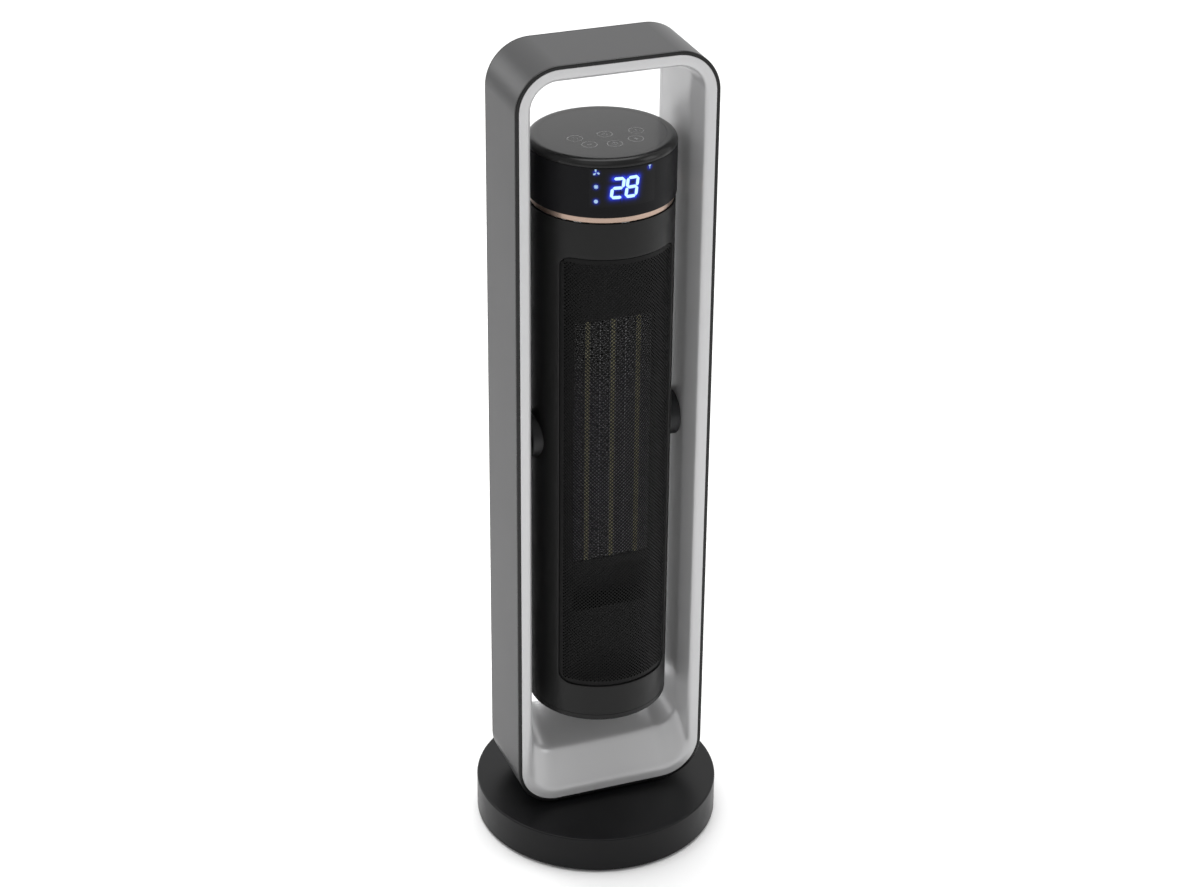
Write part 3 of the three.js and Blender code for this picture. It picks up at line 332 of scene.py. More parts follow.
def surface(name, colour, roughness, metallic=0, coat=0, mottle=0.06, patch=20, uneven=0.04,
            grain=0.6, depth=0.004, stretch=(1, 1, 1), specular=0.5):
    """A finish with cloudy colour and gloss, and a fine grain. Patch, grain and depth are in millimetres."""
    material = bpy.data.materials.new(name)
    material.use_nodes = True
    tree = material.node_tree
    shader = tree.nodes["Principled BSDF"]
    shader.inputs["Metallic"].default_value = metallic
    shader.inputs["Coat Weight"].default_value = coat
    shader.inputs["Coat Roughness"].default_value = 0.05
    shader.inputs["Specular IOR Level"].default_value = specular
    place = node(tree, "ShaderNodeTexCoord").outputs["Object"]
    clouds = noise(tree, place, patch, 4, stretch)
    fine = noise(tree, place, grain, 2, stretch)
    tint = blended(tree, ranged(tree, clouds, 0, 1), shade(colour, 1 - mottle), shade(colour, 1 + mottle))
    tree.links.new(tint, shader.inputs["Base Color"])
    gloss = ranged(tree, clouds, roughness - uneven, roughness + uneven)
    tree.links.new(gloss, shader.inputs["Roughness"])
    bump = node(tree, "ShaderNodeBump", Strength=1.0, Distance=depth * MM)
    tree.links.new(fine, bump.inputs["Height"])
    tree.links.new(bump.outputs["Normal"], shader.inputs["Normal"])
    return material


def speckled(material, colour, size, amount):
    """Adds small specks of another colour over a finish."""
    tree = material.node_tree
    shader = tree.nodes["Principled BSDF"]
    under = shader.inputs["Base Color"].links[0].from_socket
    specks = ranged(tree, noise(tree, object_place(tree), size, 1), 0, amount, 0.58, 0.68)
    tree.links.new(blended(tree, specks, under, [*colour, 1]), shader.inputs["Base Color"])


def glowing(name, colour, strength, under):
    """A lit display: the glow attribute of the mesh says how bright each point is."""
    material = surface(name, under, 0.30, uneven=0.02, depth=0.001, specular=0.12)
    tree = material.node_tree
    shader = tree.nodes["Principled BSDF"]
    shader.inputs["Emission Color"].default_value = [*colour, 1]
    light = tree.nodes.new("ShaderNodeAttribute")
    light.attribute_name = "glow"
    power = tree.nodes.new("ShaderNodeMath")
    power.operation = "MULTIPLY"
    power.inputs[1].default_value = strength
    tree.links.new(light.outputs["Fac"], power.inputs[0])
    tree.links.new(power.outputs[0], shader.inputs["Emission Strength"])
    return material


def circuit_board(name):
    """Green lacquer with a faint pattern of copper tracks under it."""
    material = surface(name, (0.012, 0.06, 0.03), 0.35, coat=0.3, grain=1, depth=0.002)
    tree = material.node_tree
    shader = tree.nodes["Principled BSDF"]
    tracks = node(tree, "ShaderNodeTexBrick", Scale=90.0)
    tracks.inputs["Mortar Size"].default_value = 0.03
    tracks.inputs["Color1"].default_value = (0.012, 0.06, 0.03, 1)
    tracks.inputs["Color2"].default_value = (0.01, 0.05, 0.028, 1)
    tracks.inputs["Mortar"].default_value = (0.04, 0.14, 0.06, 1)
    tree.links.new(object_place(tree), tracks.inputs["Vector"])
    tree.links.new(tracks.outputs["Color"], shader.inputs["Base Color"])
    return material


LIT_BLUE = (0.02, 0.05, 0.9)
LIT_WHITE = (0.50, 0.74, 1.0)
BLACK_GLASS = (0.006, 0.006, 0.007)

# Colour, roughness and what else sets each finish apart.
LOOKS = {
    "base_black": ((0.005, 0.005, 0.0055), 0.36, dict(grain=0.7, depth=0.012, specular=0.16)),
    "body_black": ((0.006, 0.006, 0.006), 0.42, dict(depth=0.008, specular=0.22)),
    "grille_black": ((0.005, 0.005, 0.005), 0.50, dict(grain=1.5, specular=0.12)),
    "boss_black": ((0.008, 0.008, 0.009), 0.38, dict(depth=0.008, specular=0.3)),
    "edge_black": ((0.006, 0.006, 0.006), 0.28, dict(depth=0.003, specular=0.3)),
    "switch_black": ((0.009, 0.009, 0.009), 0.30, {}),
    "gloss_black": (BLACK_GLASS, 0.45, dict(uneven=0.02, depth=0.001, specular=0.10)),
    "panel_grey": ((0.008, 0.008, 0.008), 0.24, dict(uneven=0.01, depth=0.0005, specular=0.27)),
    "band_grey": ((0.046, 0.046, 0.047), 0.36,
                  dict(metallic=0.2, mottle=0.02, patch=60, uneven=0.01, grain=0.5, specular=0.12)),
    "liner_grey": ((0.55, 0.55, 0.555), 0.32,
                   dict(metallic=0.3, mottle=0.01, patch=60, uneven=0.01, grain=0.5, depth=0.003)),
    "rose_gold": ((0.42, 0.31, 0.25), 0.30,
                  dict(metallic=1.0, patch=8, grain=0.25, depth=0.003, stretch=(1, 1, 0.05))),
    "steel": ((0.5, 0.5, 0.5), 0.32, dict(metallic=1.0, patch=6, grain=0.3)),
    "aluminium": ((0.24, 0.24, 0.245), 0.38,
                  dict(metallic=0.9, mottle=0.12, patch=5, grain=0.4, depth=0.006)),
    "bronze": ((0.45, 0.28, 0.12), 0.40, dict(metallic=1.0, grain=0.4, depth=0.01)),
    "cast_iron": ((0.05, 0.047, 0.044), 0.75, dict(metallic=0.5, mottle=0.2, grain=1.4, depth=0.12)),
    "rubber": ((0.012, 0.012, 0.012), 0.80, dict(mottle=0.15, grain=0.5, depth=0.02)),
    "white_nylon": ((0.66, 0.64, 0.58), 0.45, dict(mottle=0.03, grain=1, depth=0.008)),
    "duct_black": ((0.012, 0.012, 0.012), 0.62, dict(mottle=0.15, depth=0.02)),
    "wheel_black": ((0.014, 0.014, 0.015), 0.48, dict(mottle=0.1, depth=0.01)),
    "ptc_ceramic": ((0.30, 0.28, 0.17), 0.60, dict(mottle=0.18, patch=9, grain=0.8, depth=0.03)),
    "panel_print": ((0.24, 0.24, 0.245), 0.45, dict(grain=0.3, depth=0.002)),
}
FINISHES = {name: surface(name, colour, roughness, **more)
            for name, (colour, roughness, more) in LOOKS.items()}
speckled(FINISHES["cast_iron"], (0.12, 0.07, 0.04), 3, 0.35)
speckled(FINISHES["ptc_ceramic"], (0.42, 0.40, 0.28), 2.5, 0.5)
FINISHES["board_green"] = circuit_board("board_green")
FINISHES["display_light"] = glowing("display_light", LIT_WHITE, 1.3, (0.05, 0.07, 0.12))
# painted glow: the light of the lit signs spreading over the display glass, as emission on the glass
GLOW_ON_GLASS = glowing("display_glow", LIT_BLUE, 0.8, BLACK_GLASS)

# ---------------------------------------------------------------- base

COLLAR_BORE = 21.4 * MM
COLLAR_WALL = 2.6 * MM
BASE_WALL = 2.5 * MM
BASE_RIM = 1.6 * MM      # rounding of the upper edge
SWITCH_TURN = math.radians(58)
GLAND_HOLE = 6.3 * MM
GLAND_BORE = 3.6 * MM


def around_z(part, angle):
    return moved(part, Matrix.Rotation(angle, 4, "Z"))


def make_base_cover():
    under = BASE_TOP - BASE_WALL
    inner = BASE_RADIUS - BASE_WALL
    collar_bottom = 30 * MM
    profile = fillet([
        (COLLAR_BORE, collar_bottom, 0.4 * MM),
        (COLLAR_BORE + COLLAR_WALL, collar_bottom, 0.4 * MM),
        (COLLAR_BORE + COLLAR_WALL, under, 1 * MM),
        (inner, under, 1 * MM),
        (inner, BASE_BOTTOM, 0.6 * MM),
        (BASE_RADIUS, BASE_BOTTOM, 0.9 * MM),
        (BASE_RADIUS, BASE_TOP, BASE_RIM),
        (COLLAR_BORE, BASE_TOP, 0.8 * MM),
    ], 6)
    middle = middle_of("rocker_bezel").z
    wide, tall = 7.3 * MM, 11.3 * MM      # half sizes of the switch's opening
    opening = block((inner - 4 * MM, -wide, middle - tall), (BASE_RADIUS + 3 * MM, wide, middle + tall))
    hole = along_y(rod(GLAND_HOLE, inner - 4 * MM, BASE_RADIUS + 2 * MM))
    hole = moved(hole, Matrix.Translation((0, 0, middle_of("cord_gland").z)))
    cover = mesh_object("base_cover_fine", lathe(profile))
    combine(cover, "DIFFERENCE", around_z(opening, SWITCH_TURN), hole)
    even_normals(cover)
    finished(cover, "base_black", "base", "base_cover")


def make_feet():
    for name in sorted(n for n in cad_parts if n.startswith("foot_")):
        low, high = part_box(name)
        radius = (high.x - low.x) / 2
        sole, peg = 2.7 * MM, 3 * MM
        profile = fillet([
            (0, 0, 0),
            (radius - 2 * MM, 0, 0.3 * MM),
            (radius - 1.4 * MM, 0.5 * MM, 0.3 * MM),
            (radius, 0.5 * MM, 0.3 * MM),
            (radius, sole, 0.4 * MM),
            (peg, sole, 0),
            (peg, high.z, 0.4 * MM),
            (0, high.z, 0),
        ])
        centre = Matrix.Translation((*middle_of(name).xy, 0))
        fine_piece(name, moved(lathe(profile, SMALL_STEPS), centre), "rubber", "base")


def cross_recess(reach, depth):
    """A cross-head recess that goes down from height zero."""
    arm, waist = reach, reach * 0.28
    corners = []
    for quarter in range(4):
        turn = Matrix.Rotation(quarter * math.pi / 2, 2)
        corners += [turn @ Vector(p) for p in ((arm, -waist), (arm, waist), (waist, waist))]
    top = [(x, y, 0.4 * MM) for x, y in corners]
    foot = [(x * 0.6, y * 0.6, -depth) for x, y in corners]
    return capped([foot, top])


def make_base_screws():
    """Pan-head screws that face down, each made with its head's face at height zero."""
    head, head_height, shank = 3.4 * MM, 2 * MM, 1.4 * MM
    facing_down = Matrix.Rotation(math.pi, 4, "X")
    for name in sorted(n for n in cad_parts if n.startswith("base_screw_")):
        low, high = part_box(name)
        end = low.z - high.z
        profile = fillet([
            (0, 0, 0),
            (head, 0, head_height * 0.6),
            (head, -head_height, 0.1 * MM),
            (shank, -head_height, 0),
            (shank, end, 0.4 * MM),
            (0, end, 0),
        ], 5)
        made = mesh_object(name + "_fine", lathe(profile, SMALL_STEPS))
        combine(made, "DIFFERENCE", cross_recess(head * 0.52, head_height * 0.75))
        made.data.transform(Matrix.Translation((*middle_of(name).xy, low.z)) @ facing_down)
        finished(made, "steel", "base", name)


def make_gland():
    low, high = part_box("cord_gland")
    front = BASE_RADIUS - 3.3 * MM
    profile = fillet([
        (GLAND_BORE, low.y, 0.3 * MM),
        (8.5 * MM, low.y, 0.3 * MM),
        (8.5 * MM, front, 0.3 * MM),
        (GLAND_HOLE - SEAM, front, 0),
        (GLAND_HOLE - SEAM, high.y, 1.2 * MM),
        (GLAND_BORE, high.y, 1 * MM),
    ])
    height = Matrix.Translation((0, 0, middle_of("cord_gland").z))
    fine_piece("cord_gland", moved(along_y(lathe(profile, SMALL_STEPS)), height), "base_black", "base")


def switch_matrix():
    height = middle_of("rocker_bezel").z
    return Matrix.Rotation(SWITCH_TURN, 4, "Z") @ Matrix.Translation((0, 0, height))


def make_bezel():
    plate = block((BASE_RADIUS + SEAM, -8.6 * MM, -12.6 * MM), (BASE_RADIUS + 1.5 * MM, 8.6 * MM, 12.6 * MM))
    body = block((BASE_RADIUS - 14 * MM, -7 * MM, -11 * MM), (BASE_RADIUS + 1 * MM, 7 * MM, 11 * MM))
    well = block((BASE_RADIUS - 9 * MM, -5.6 * MM, -9.8 * MM), (BASE_RADIUS + 3 * MM, 5.6 * MM, 9.8 * MM))
    made = mesh_object("rocker_bezel_fine", plate)
    combine(made, "UNION", body)
    combine(made, "DIFFERENCE", well)
    bevelled(made, 0.5 * MM)
    made.data.transform(switch_matrix())
    finished(made, "switch_black", "base", "rocker_bezel")


def make_rocker():
    """The rocker leans by its resting angle, with a bar above its pivot and a ring below."""
    reach = 8.6 * MM
    corners = [(-5.5 * MM, -3.4 * MM), (-5.5 * MM, 3.4 * MM), (0.4 * MM, reach)]
    dish = 1.6 * MM
    face = [reach * (1 - step / 10) for step in range(1, 20)]
    corners += [(0.4 * MM - dish * (1 - (z / reach) ** 2), z) for z in face]
    corners.append((0.4 * MM, -reach))
    half = 5.2 * MM
    sides = [[(x, y, z) for x, z in corners] for y in (-half, half)]
    rocker = mesh_object("power_rocker_fine", capped(sides), 30)
    bevelled(rocker, 0.35 * MM, angle=30)
    bar = block((-1.2 * MM, -0.35 * MM, 2.6 * MM), (-0.35 * MM, 0.35 * MM, 5.4 * MM))
    ring = rod(1.7 * MM, -1.2 * MM, -0.35 * MM, 24, 1.1 * MM)
    ring = moved(along_x(ring), Matrix.Translation((0, 0, -4 * MM)))
    marks = mesh_object("power_rocker_marks", merged(bar, ring))
    pivot = Matrix.Translation((BASE_RADIUS - 0.6 * MM, 0, 0))
    lean = Matrix.Rotation(math.radians(8), 4, "Y")
    for made in (rocker, marks):
        made.data.transform(switch_matrix() @ pivot @ lean)
    finished(rocker, "switch_black", "rocker", "power_rocker")
    finished(marks, "white_nylon", "rocker")


# ---------------------------------------------------------------- frame


def frame_loop(y, side, top, foot, upper, lower):
    """A rounded rectangle at a depth, drawn in from the frame's outer face."""
    half = FRAME_HALF - side
    high = FRAME_HEAD - top
    low = FRAME_FOOT + foot
    corners = [
        (half - lower, low + lower, lower, -90),
        (half - upper, high - upper, upper, 0),
        (upper - half, high - upper, upper, 90),
        (lower - half, low + lower, lower, 180),
    ]
    points = []
    for x, z, radius, start in corners:
        for step in range(CORNER_STEPS + 1):
            angle = math.radians(start + 90 * step / CORNER_STEPS)
            points.append((x + radius * math.cos(angle), y, z + radius * math.sin(angle)))
    return points


def even_row(y, inset):
    return (y, inset, inset, inset, CORNER_RADIUS - inset, CORNER_RADIUS - inset)


def even_ring(name, corners):
    """A ring with the frame's outline, from (depth, inset, rounding) corners."""
    return mesh_object(name, skin([frame_loop(*even_row(y, inset)) for y, inset in fillet(corners, 4)]))


def soften(rows, step, reach):
    """Resamples a path of rows evenly and rounds its corners over a reach, with its ends kept."""
    rows = np.array(rows)
    walk = np.linalg.norm(np.diff(rows[:, [0, 3]], axis=0), axis=1)
    length = np.concatenate([[0], np.cumsum(walk)])
    places = np.linspace(0, length[-1], round(length[-1] / step) + 1)
    path = np.stack([np.interp(places, length, column) for column in rows.T], axis=1)
    half = max(1, round(reach / step / 2))
    window = np.ones(2 * half + 1) / (2 * half + 1)
    for _ in range(2):
        before = 2 * path[0] - path[half:0:-1]
        after = 2 * path[-1] - path[-2:-half - 2:-1]
        padded = np.concatenate([before, path, after])
        path = np.stack([np.convolve(column, window, "valid") for column in padded.T], axis=1)
    return [tuple(row) for row in path]


# The frame's inner face from front to back: depth, then how far it is drawn in at the sides, the top
# and the foot, then its upper and lower corner radii. A narrow front face, a funnel, a soft crease and
# drafted walls.
INNER_FACE = [(y, *(value * MM for value in row)) for y, *row in (
    (FRAME_FRONT, 3.7, 3.7, 3.7, 38.3, 38.3),
    (FRAME_FRONT, 11, 11, 11, 31, 31),
    (-41.0 * MM, 13, 13, 14, 29, 29),
    (-39.4 * MM, 14.6, 14.6, 17.5, 27, 28),
    (-24.5 * MM, 19.8, 20.6, 46.5, 13, 25),
    (-22.0 * MM, 20.6, 21.4, 49.8, 10.5, 24),
    (-18.0 * MM, 21.1, 22.2, 51.4, 9.5, 23.5),
    (FRAME_BACK, 25.4, 28, 66, 9, 22),
)]
LINER_WALL = 3 * MM
CHANNEL_INSET = 4.5 * MM


def face_rows(front, back):
    """The softened inner face between two depths."""
    rows = soften(INNER_FACE, 1 * MM, 5 * MM)
    inside = [row for row in rows if front <= row[0] <= back - 0.2 * MM]
    table = np.array(rows)
    depth = table[:, 0]
    funnel = depth > -40 * MM    # the rows behind the front lip
    start = [np.interp(front, depth[funnel], column[funnel]) for column in table.T]
    end = [np.interp(back, depth[-40:], column[-40:]) for column in table.T]     # from the last rows
    return ([tuple(start)] if front > FRAME_FRONT else []) + inside + [tuple(end)]


def drawn_back(row, amount):
    y, side, top, foot, upper, lower = row
    return (y, side - amount, top - amount, foot - amount, upper + amount, lower + amount)


def pivot_tools():
    """The round seats and the pin bores on both sides of the frame."""
    seat, bore = 23.7 * MM, 10.3 * MM
    seat_end, bore_end = 74.9 * MM, 85 * MM
    steps = fillet([(0, -bore_end, 0), (bore, -bore_end, 0), (bore, -seat_end, 0), (seat, -seat_end, 0),
                    (seat, seat_end, 0), (bore, seat_end, 0), (bore, bore_end, 0), (0, bore_end, 0)])
    return moved(along_x(lathe(steps, 96)), Matrix.Translation((0, 0, PIVOT_HEIGHT)))


def hub_hole():
    return rod(21.3 * MM, FRAME_FOOT - 2 * MM, FRAME_FOOT + 8 * MM, 96)


def make_band():
    corners = [
        (BAND_FRONT, 0, 0.35 * MM),
        (BAND_BACK, 0, 0.35 * MM),
        (BAND_BACK, BAND_WALL, 0),
        (BAND_FRONT, BAND_WALL, 0),
    ]
    band = even_ring("outer_band_fine", corners)
    combine(band, "DIFFERENCE", hub_hole())
    even_normals(band)
    finished(band, "band_grey", "frame", "outer_band")


def make_edge_trims():
    for name, outer, inner in (
        ("front_edge_trim", FRAME_FRONT, BAND_FRONT - SEAM),
        ("rear_edge_trim", FRAME_BACK, BAND_BACK + SEAM),
    ):
        corners = [
            (outer, 0, 1.1 * MM),
            (inner, 0, 0.2 * MM),
            (inner, EDGE_WIDTH, 0.2 * MM),
            (outer, EDGE_WIDTH, 0.5 * MM),
        ]
        finished(even_normals(even_ring(name + "_fine", corners)), "edge_black", "frame", name)


def make_front_liner():
    wide, narrow = BAND_WALL + SEAM, EDGE_WIDTH + SEAM
    back = LINER_SPLIT_FRONT
    visible = face_rows(FRAME_FRONT, back)
    channel_front = -36 * MM
    hidden = [drawn_back(row, LINER_WALL) for row in reversed(visible[1:]) if row[0] > channel_front]
    outside = [even_row(channel_front, CHANNEL_INSET), even_row(back, CHANNEL_INSET), even_row(back, wide),
               even_row(BAND_FRONT, wide), even_row(BAND_FRONT, narrow)]
    loops = [frame_loop(*row) for row in visible + hidden + outside]
    liner = mesh_object("front_liner_fine", skin(loops), 25)
    combine(liner, "DIFFERENCE", pivot_tools(), hub_hole(), sharp=25)
    even_normals(liner)
    finished(liner, "liner_grey", "frame", "front_liner_top", "front_liner_foot",
             "liner_upright_left", "liner_upright_right")


def make_rear_liner():
    wide, narrow = BAND_WALL + SEAM, EDGE_WIDTH + SEAM
    front, back, wall = LINER_SPLIT_BACK, FRAME_BACK, 2.6 * MM
    inner = face_rows(front, back)
    lip = 0.8 * MM
    start = drawn_back(inner[0], LINER_WALL)
    rounded = (back - lip, *inner[-1][1:])
    turned = drawn_back(inner[-1], lip)
    rows = [start, *inner[:-1], rounded, turned, even_row(back, narrow), even_row(BAND_BACK, narrow),
            even_row(BAND_BACK, wide), even_row(front, wide), even_row(front, CHANNEL_INSET),
            even_row(back - wall, CHANNEL_INSET), (back - wall, *start[1:])]
    liner = mesh_object("rear_liner_fine", skin([frame_loop(*row) for row in rows]), 30)
    combine(liner, "DIFFERENCE", pivot_tools(), sharp=30)
    even_normals(liner)
    finished(liner, "liner_grey", "frame", "rear_liner_top", "rear_liner_foot")


def make_hub():
    low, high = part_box("turntable_hub")
    bore, foot, post, disc = 12 * MM, 18 * MM, 21 * MM, 38 * MM
    collar = 30 * MM
    profile = fillet([
        (bore, low.z, 0.5 * MM),
        (foot, low.z, 0.5 * MM),
        (foot, collar, 0.5 * MM),
        (post, collar, 0.5 * MM),
        (post, BASE_TOP + SEAM, 0.3 * MM),
        (disc, BASE_TOP + SEAM, 0.4 * MM),
        (disc, FRAME_FOOT - SEAM, 0.4 * MM),
        (post, FRAME_FOOT - SEAM, 0.3 * MM),
        (post, high.z, 0.8 * MM),
        (bore, high.z, 0.8 * MM),
    ])
    fine_piece("turntable_hub", lathe(profile, 96), "base_black", "frame")


# ---------------------------------------------------------------- heater body: casing

WINDOW_STEPS = 40        # along the upper and lower edges of a window
WINDOW_CORNER_STEPS = 10
CASING_HALF = math.radians(89.86)        # half of the turn that each casing half covers


def wrapped(point, radius, side):
    """An (angle, height) point on the casing, in front of the axis (side -1) or behind it (side 1)."""
    angle, z = point
    return (radius * math.sin(angle), side * radius * math.cos(angle), z)


def window_loop(offset, radius=BODY_RADIUS):
    """The window's outline as (angle, height), moved outwards by an offset."""
    corner = WINDOW_CORNER + offset
    half = WINDOW_HALF + offset - corner
    low, high = WINDOW_BOTTOM - offset + corner, WINDOW_TOP + offset - corner
    points = []
    for x, z, start in ((half, low, -90), (half, high, 0), (-half, high, 90), (-half, low, 180)):
        for step in range(WINDOW_CORNER_STEPS + 1):
            angle = math.radians(start + 90 * step / WINDOW_CORNER_STEPS)
            points.append((x + corner * math.cos(angle), z + corner * math.sin(angle)))
        if start in (0, 180):
            run = [x * (1 - 2 * k / WINDOW_STEPS) for k in range(1, WINDOW_STEPS)]
            edge = points[-1][1]
            points += [(across, edge) for across in run]
    return [(math.asin(x / radius), z) for x, z in points]


def shell_border():
    """The casing half's own outline, point for point with window_loop."""
    half, low, high = CASING_HALF, SHELL_BOTTOM, SHELL_TOP
    tiny = 0.02      # radians, across a corner
    points = []
    for side, z, up, first in ((1, low, 1, 0), (1, high, -1, 1), (-1, high, -1, 0), (-1, low, 1, 1)):
        for step in range(WINDOW_CORNER_STEPS + 1):
            share = step / WINDOW_CORNER_STEPS
            inward = share if first else 1 - share
            upward = 1 - inward
            points.append((side * (half - tiny * inward), z + up * upward * tiny * BODY_RADIUS))
        if (side, up) in ((1, -1), (-1, 1)):
            span = half - tiny
            points += [(side * span * (1 - 2 * k / WINDOW_STEPS), z) for k in range(1, WINDOW_STEPS)]
    return points


def mixed(a, b, share):
    return [(p[0] + (q[0] - p[0]) * share, p[1] + (q[1] - p[1]) * share) for p, q in zip(a, b)]


def make_shell(name, side):
    """Half of the casing: its outside, its inside, the rounded window edge and the split edge."""
    border = shell_border()
    rounding, steps = 0.3 * MM, 12
    inner = BODY_RADIUS - SHELL_WALL
    loops = []
    for step in range(5):
        angle = math.radians(90 * step / 4)
        radius = BODY_RADIUS - rounding * (1 - math.sin(angle))
        edge = window_loop(rounding * (1 - math.cos(angle)))
        loops.append([wrapped(point, radius, side) for point in edge])
    near = window_loop(rounding)
    for step in range(1, steps + 1):
        loops.append([wrapped(point, BODY_RADIUS, side) for point in mixed(near, border, step / steps)])
    for step in range(steps, -1, -1):
        loops.append([wrapped(point, inner, side) for point in mixed(window_loop(0), border, step / steps)])
    shell = mesh_object(name + "_fine", skin(loops), 40)
    holes = along_x(rod(PIN_HOLE, -80 * MM, 80 * MM))
    combine(shell, "DIFFERENCE", moved(holes, Matrix.Translation((0, 0, PIVOT_HEIGHT))), sharp=40)
    finished(shell, "body_black", "heater_body", name)


def grille_edge(radius):
    """Functions for the edge of a grille: its side angle at a height, and its height above an angle."""
    half = WINDOW_HALF - GROOVE
    low, high = WINDOW_BOTTOM + GROOVE, WINDOW_TOP - GROOVE
    corner = WINDOW_CORNER - GROOVE

    def side_angle(z):
        into = max(low + corner - z, z - high + corner, 0)
        return math.asin((half - corner + math.sqrt(corner ** 2 - min(into, corner) ** 2)) / radius)

    def end_height(angle, upper):
        into = max(abs(radius * math.sin(angle)) - half + corner, 0)
        rise = corner - math.sqrt(corner ** 2 - min(into, corner) ** 2)
        return high - rise if upper else low + rise

    return side_angle, end_height


class Sheet:
    """A thin curved panel under construction, with a front and a back point for each (angle, height)."""

    def __init__(self, outer, inner, side):
        self.radii = (outer, inner)
        self.side = side
        self.index = {}
        self.vertices = []
        self.faces = []

    def point(self, place, layer):
        key = (round(place[0], 7), round(place[1], 7), layer)
        if key not in self.index:
            self.index[key] = len(self.vertices)
            self.vertices.append(wrapped(place, self.radii[layer], self.side))
        return self.index[key]

    def patch(self, places):
        """A face on the front, and the same one on the back."""
        self.faces.append([self.point(p, 0) for p in places])
        self.faces.append([self.point(p, 1) for p in reversed(places)])

    def wall(self, a, b):
        """A face through the sheet's thickness."""
        self.faces.append([self.point(a, 0), self.point(a, 1), self.point(b, 1), self.point(b, 0)])

    def pierced(self, corners, hole):
        """A cell with a hole whose points are a whole number of steps for each corner."""
        steps = len(hole) // len(corners)
        for k, corner in enumerate(corners):
            following = corners[(k + 1) % len(corners)]
            run = [hole[(k * steps + i) % len(hole)] for i in range(steps + 1)]
            self.patch([corner, following, *reversed(run)])
            for a, b in zip(run, run[1:]):
                self.wall(b, a)

    def border(self, rim, edge):
        """Faces from the rim of the pierced area to the panel's edge, and the edge's own wall."""
        for i, place in enumerate(rim):
            j = (i + 1) % len(rim)
            self.patch([place, edge[i], edge[j], rim[j]])
            self.wall(edge[i], edge[j])


def panel_edge(rim, radius, wide, low, high):
    """The panel's edge point for each point of a rectangular rim."""
    side_angle, end_height = grille_edge(radius)
    half, corner = WINDOW_HALF - GROOVE, WINDOW_CORNER - GROOVE
    slant = corner * (1 - math.sqrt(0.5))
    edge = []
    for angle, z in rim:
        at_side = abs(abs(angle) - wide) < 1e-6
        at_end = min(abs(z - low), abs(z - high)) < 1e-7
        upper = z > (low + high) / 2
        if at_side and at_end:
            end = WINDOW_TOP - GROOVE - slant if upper else WINDOW_BOTTOM + GROOVE + slant
            edge.append((math.copysign(math.asin((half - slant) / radius), angle), end))
        elif at_side:
            edge.append((math.copysign(side_angle(z), angle), z))
        else:
            edge.append((angle, end_height(angle, upper)))
    return edge


def make_front_grille():
    """A mesh of diamond holes, turned so that each row is staggered against the next."""
    outer = BODY_RADIUS - 1.3 * MM
    margin, pitch, hole_share = 3.2 * MM, 1.84 * MM, 0.72
    span = math.asin((WINDOW_HALF - GROOVE) / outer) * outer - margin
    tall = WINDOW_TOP - WINDOW_BOTTOM - 2 * GROOVE - 2 * margin
    columns = 2 * round(span / pitch)
    rows = 2 * round(tall / pitch / 2)
    wide = span / outer
    low, high = WINDOW_BOTTOM + GROOVE + margin, WINDOW_TOP - GROOVE - margin
    sheet = Sheet(outer, outer - 0.9 * MM, -1)

    def place(i, j):
        return (wide * (2 * i / columns - 1), low + (high - low) * j / rows)

    for i in range(columns + 1):
        for j in range(rows + 1):
            if (i + j) % 2 == 0:
                continue
            corners = [(i - 1, j), (i, j - 1), (i + 1, j), (i, j + 1)]
            kept = [place(a, b) for a, b in corners if 0 <= a <= columns and 0 <= b <= rows]
            if len(kept) < 4:
                sheet.patch(kept)
                continue
            middle = place(i, j)
            hole = mixed([middle] * 4, kept, hole_share)
            sheet.pierced(kept, hole)
    rim = [place(i, 0) for i in range(0, columns, 2)]
    rim += [place(columns, j) for j in range(0, rows, 2)]
    rim += [place(i, rows) for i in range(columns, 0, -2)]
    rim += [place(0, j) for j in range(rows, 0, -2)]
    sheet.border(rim, panel_edge(rim, outer, wide, low, high))
    fine_piece("front_grille", (sheet.vertices, sheet.faces), "grille_black", "heater_body", 40)


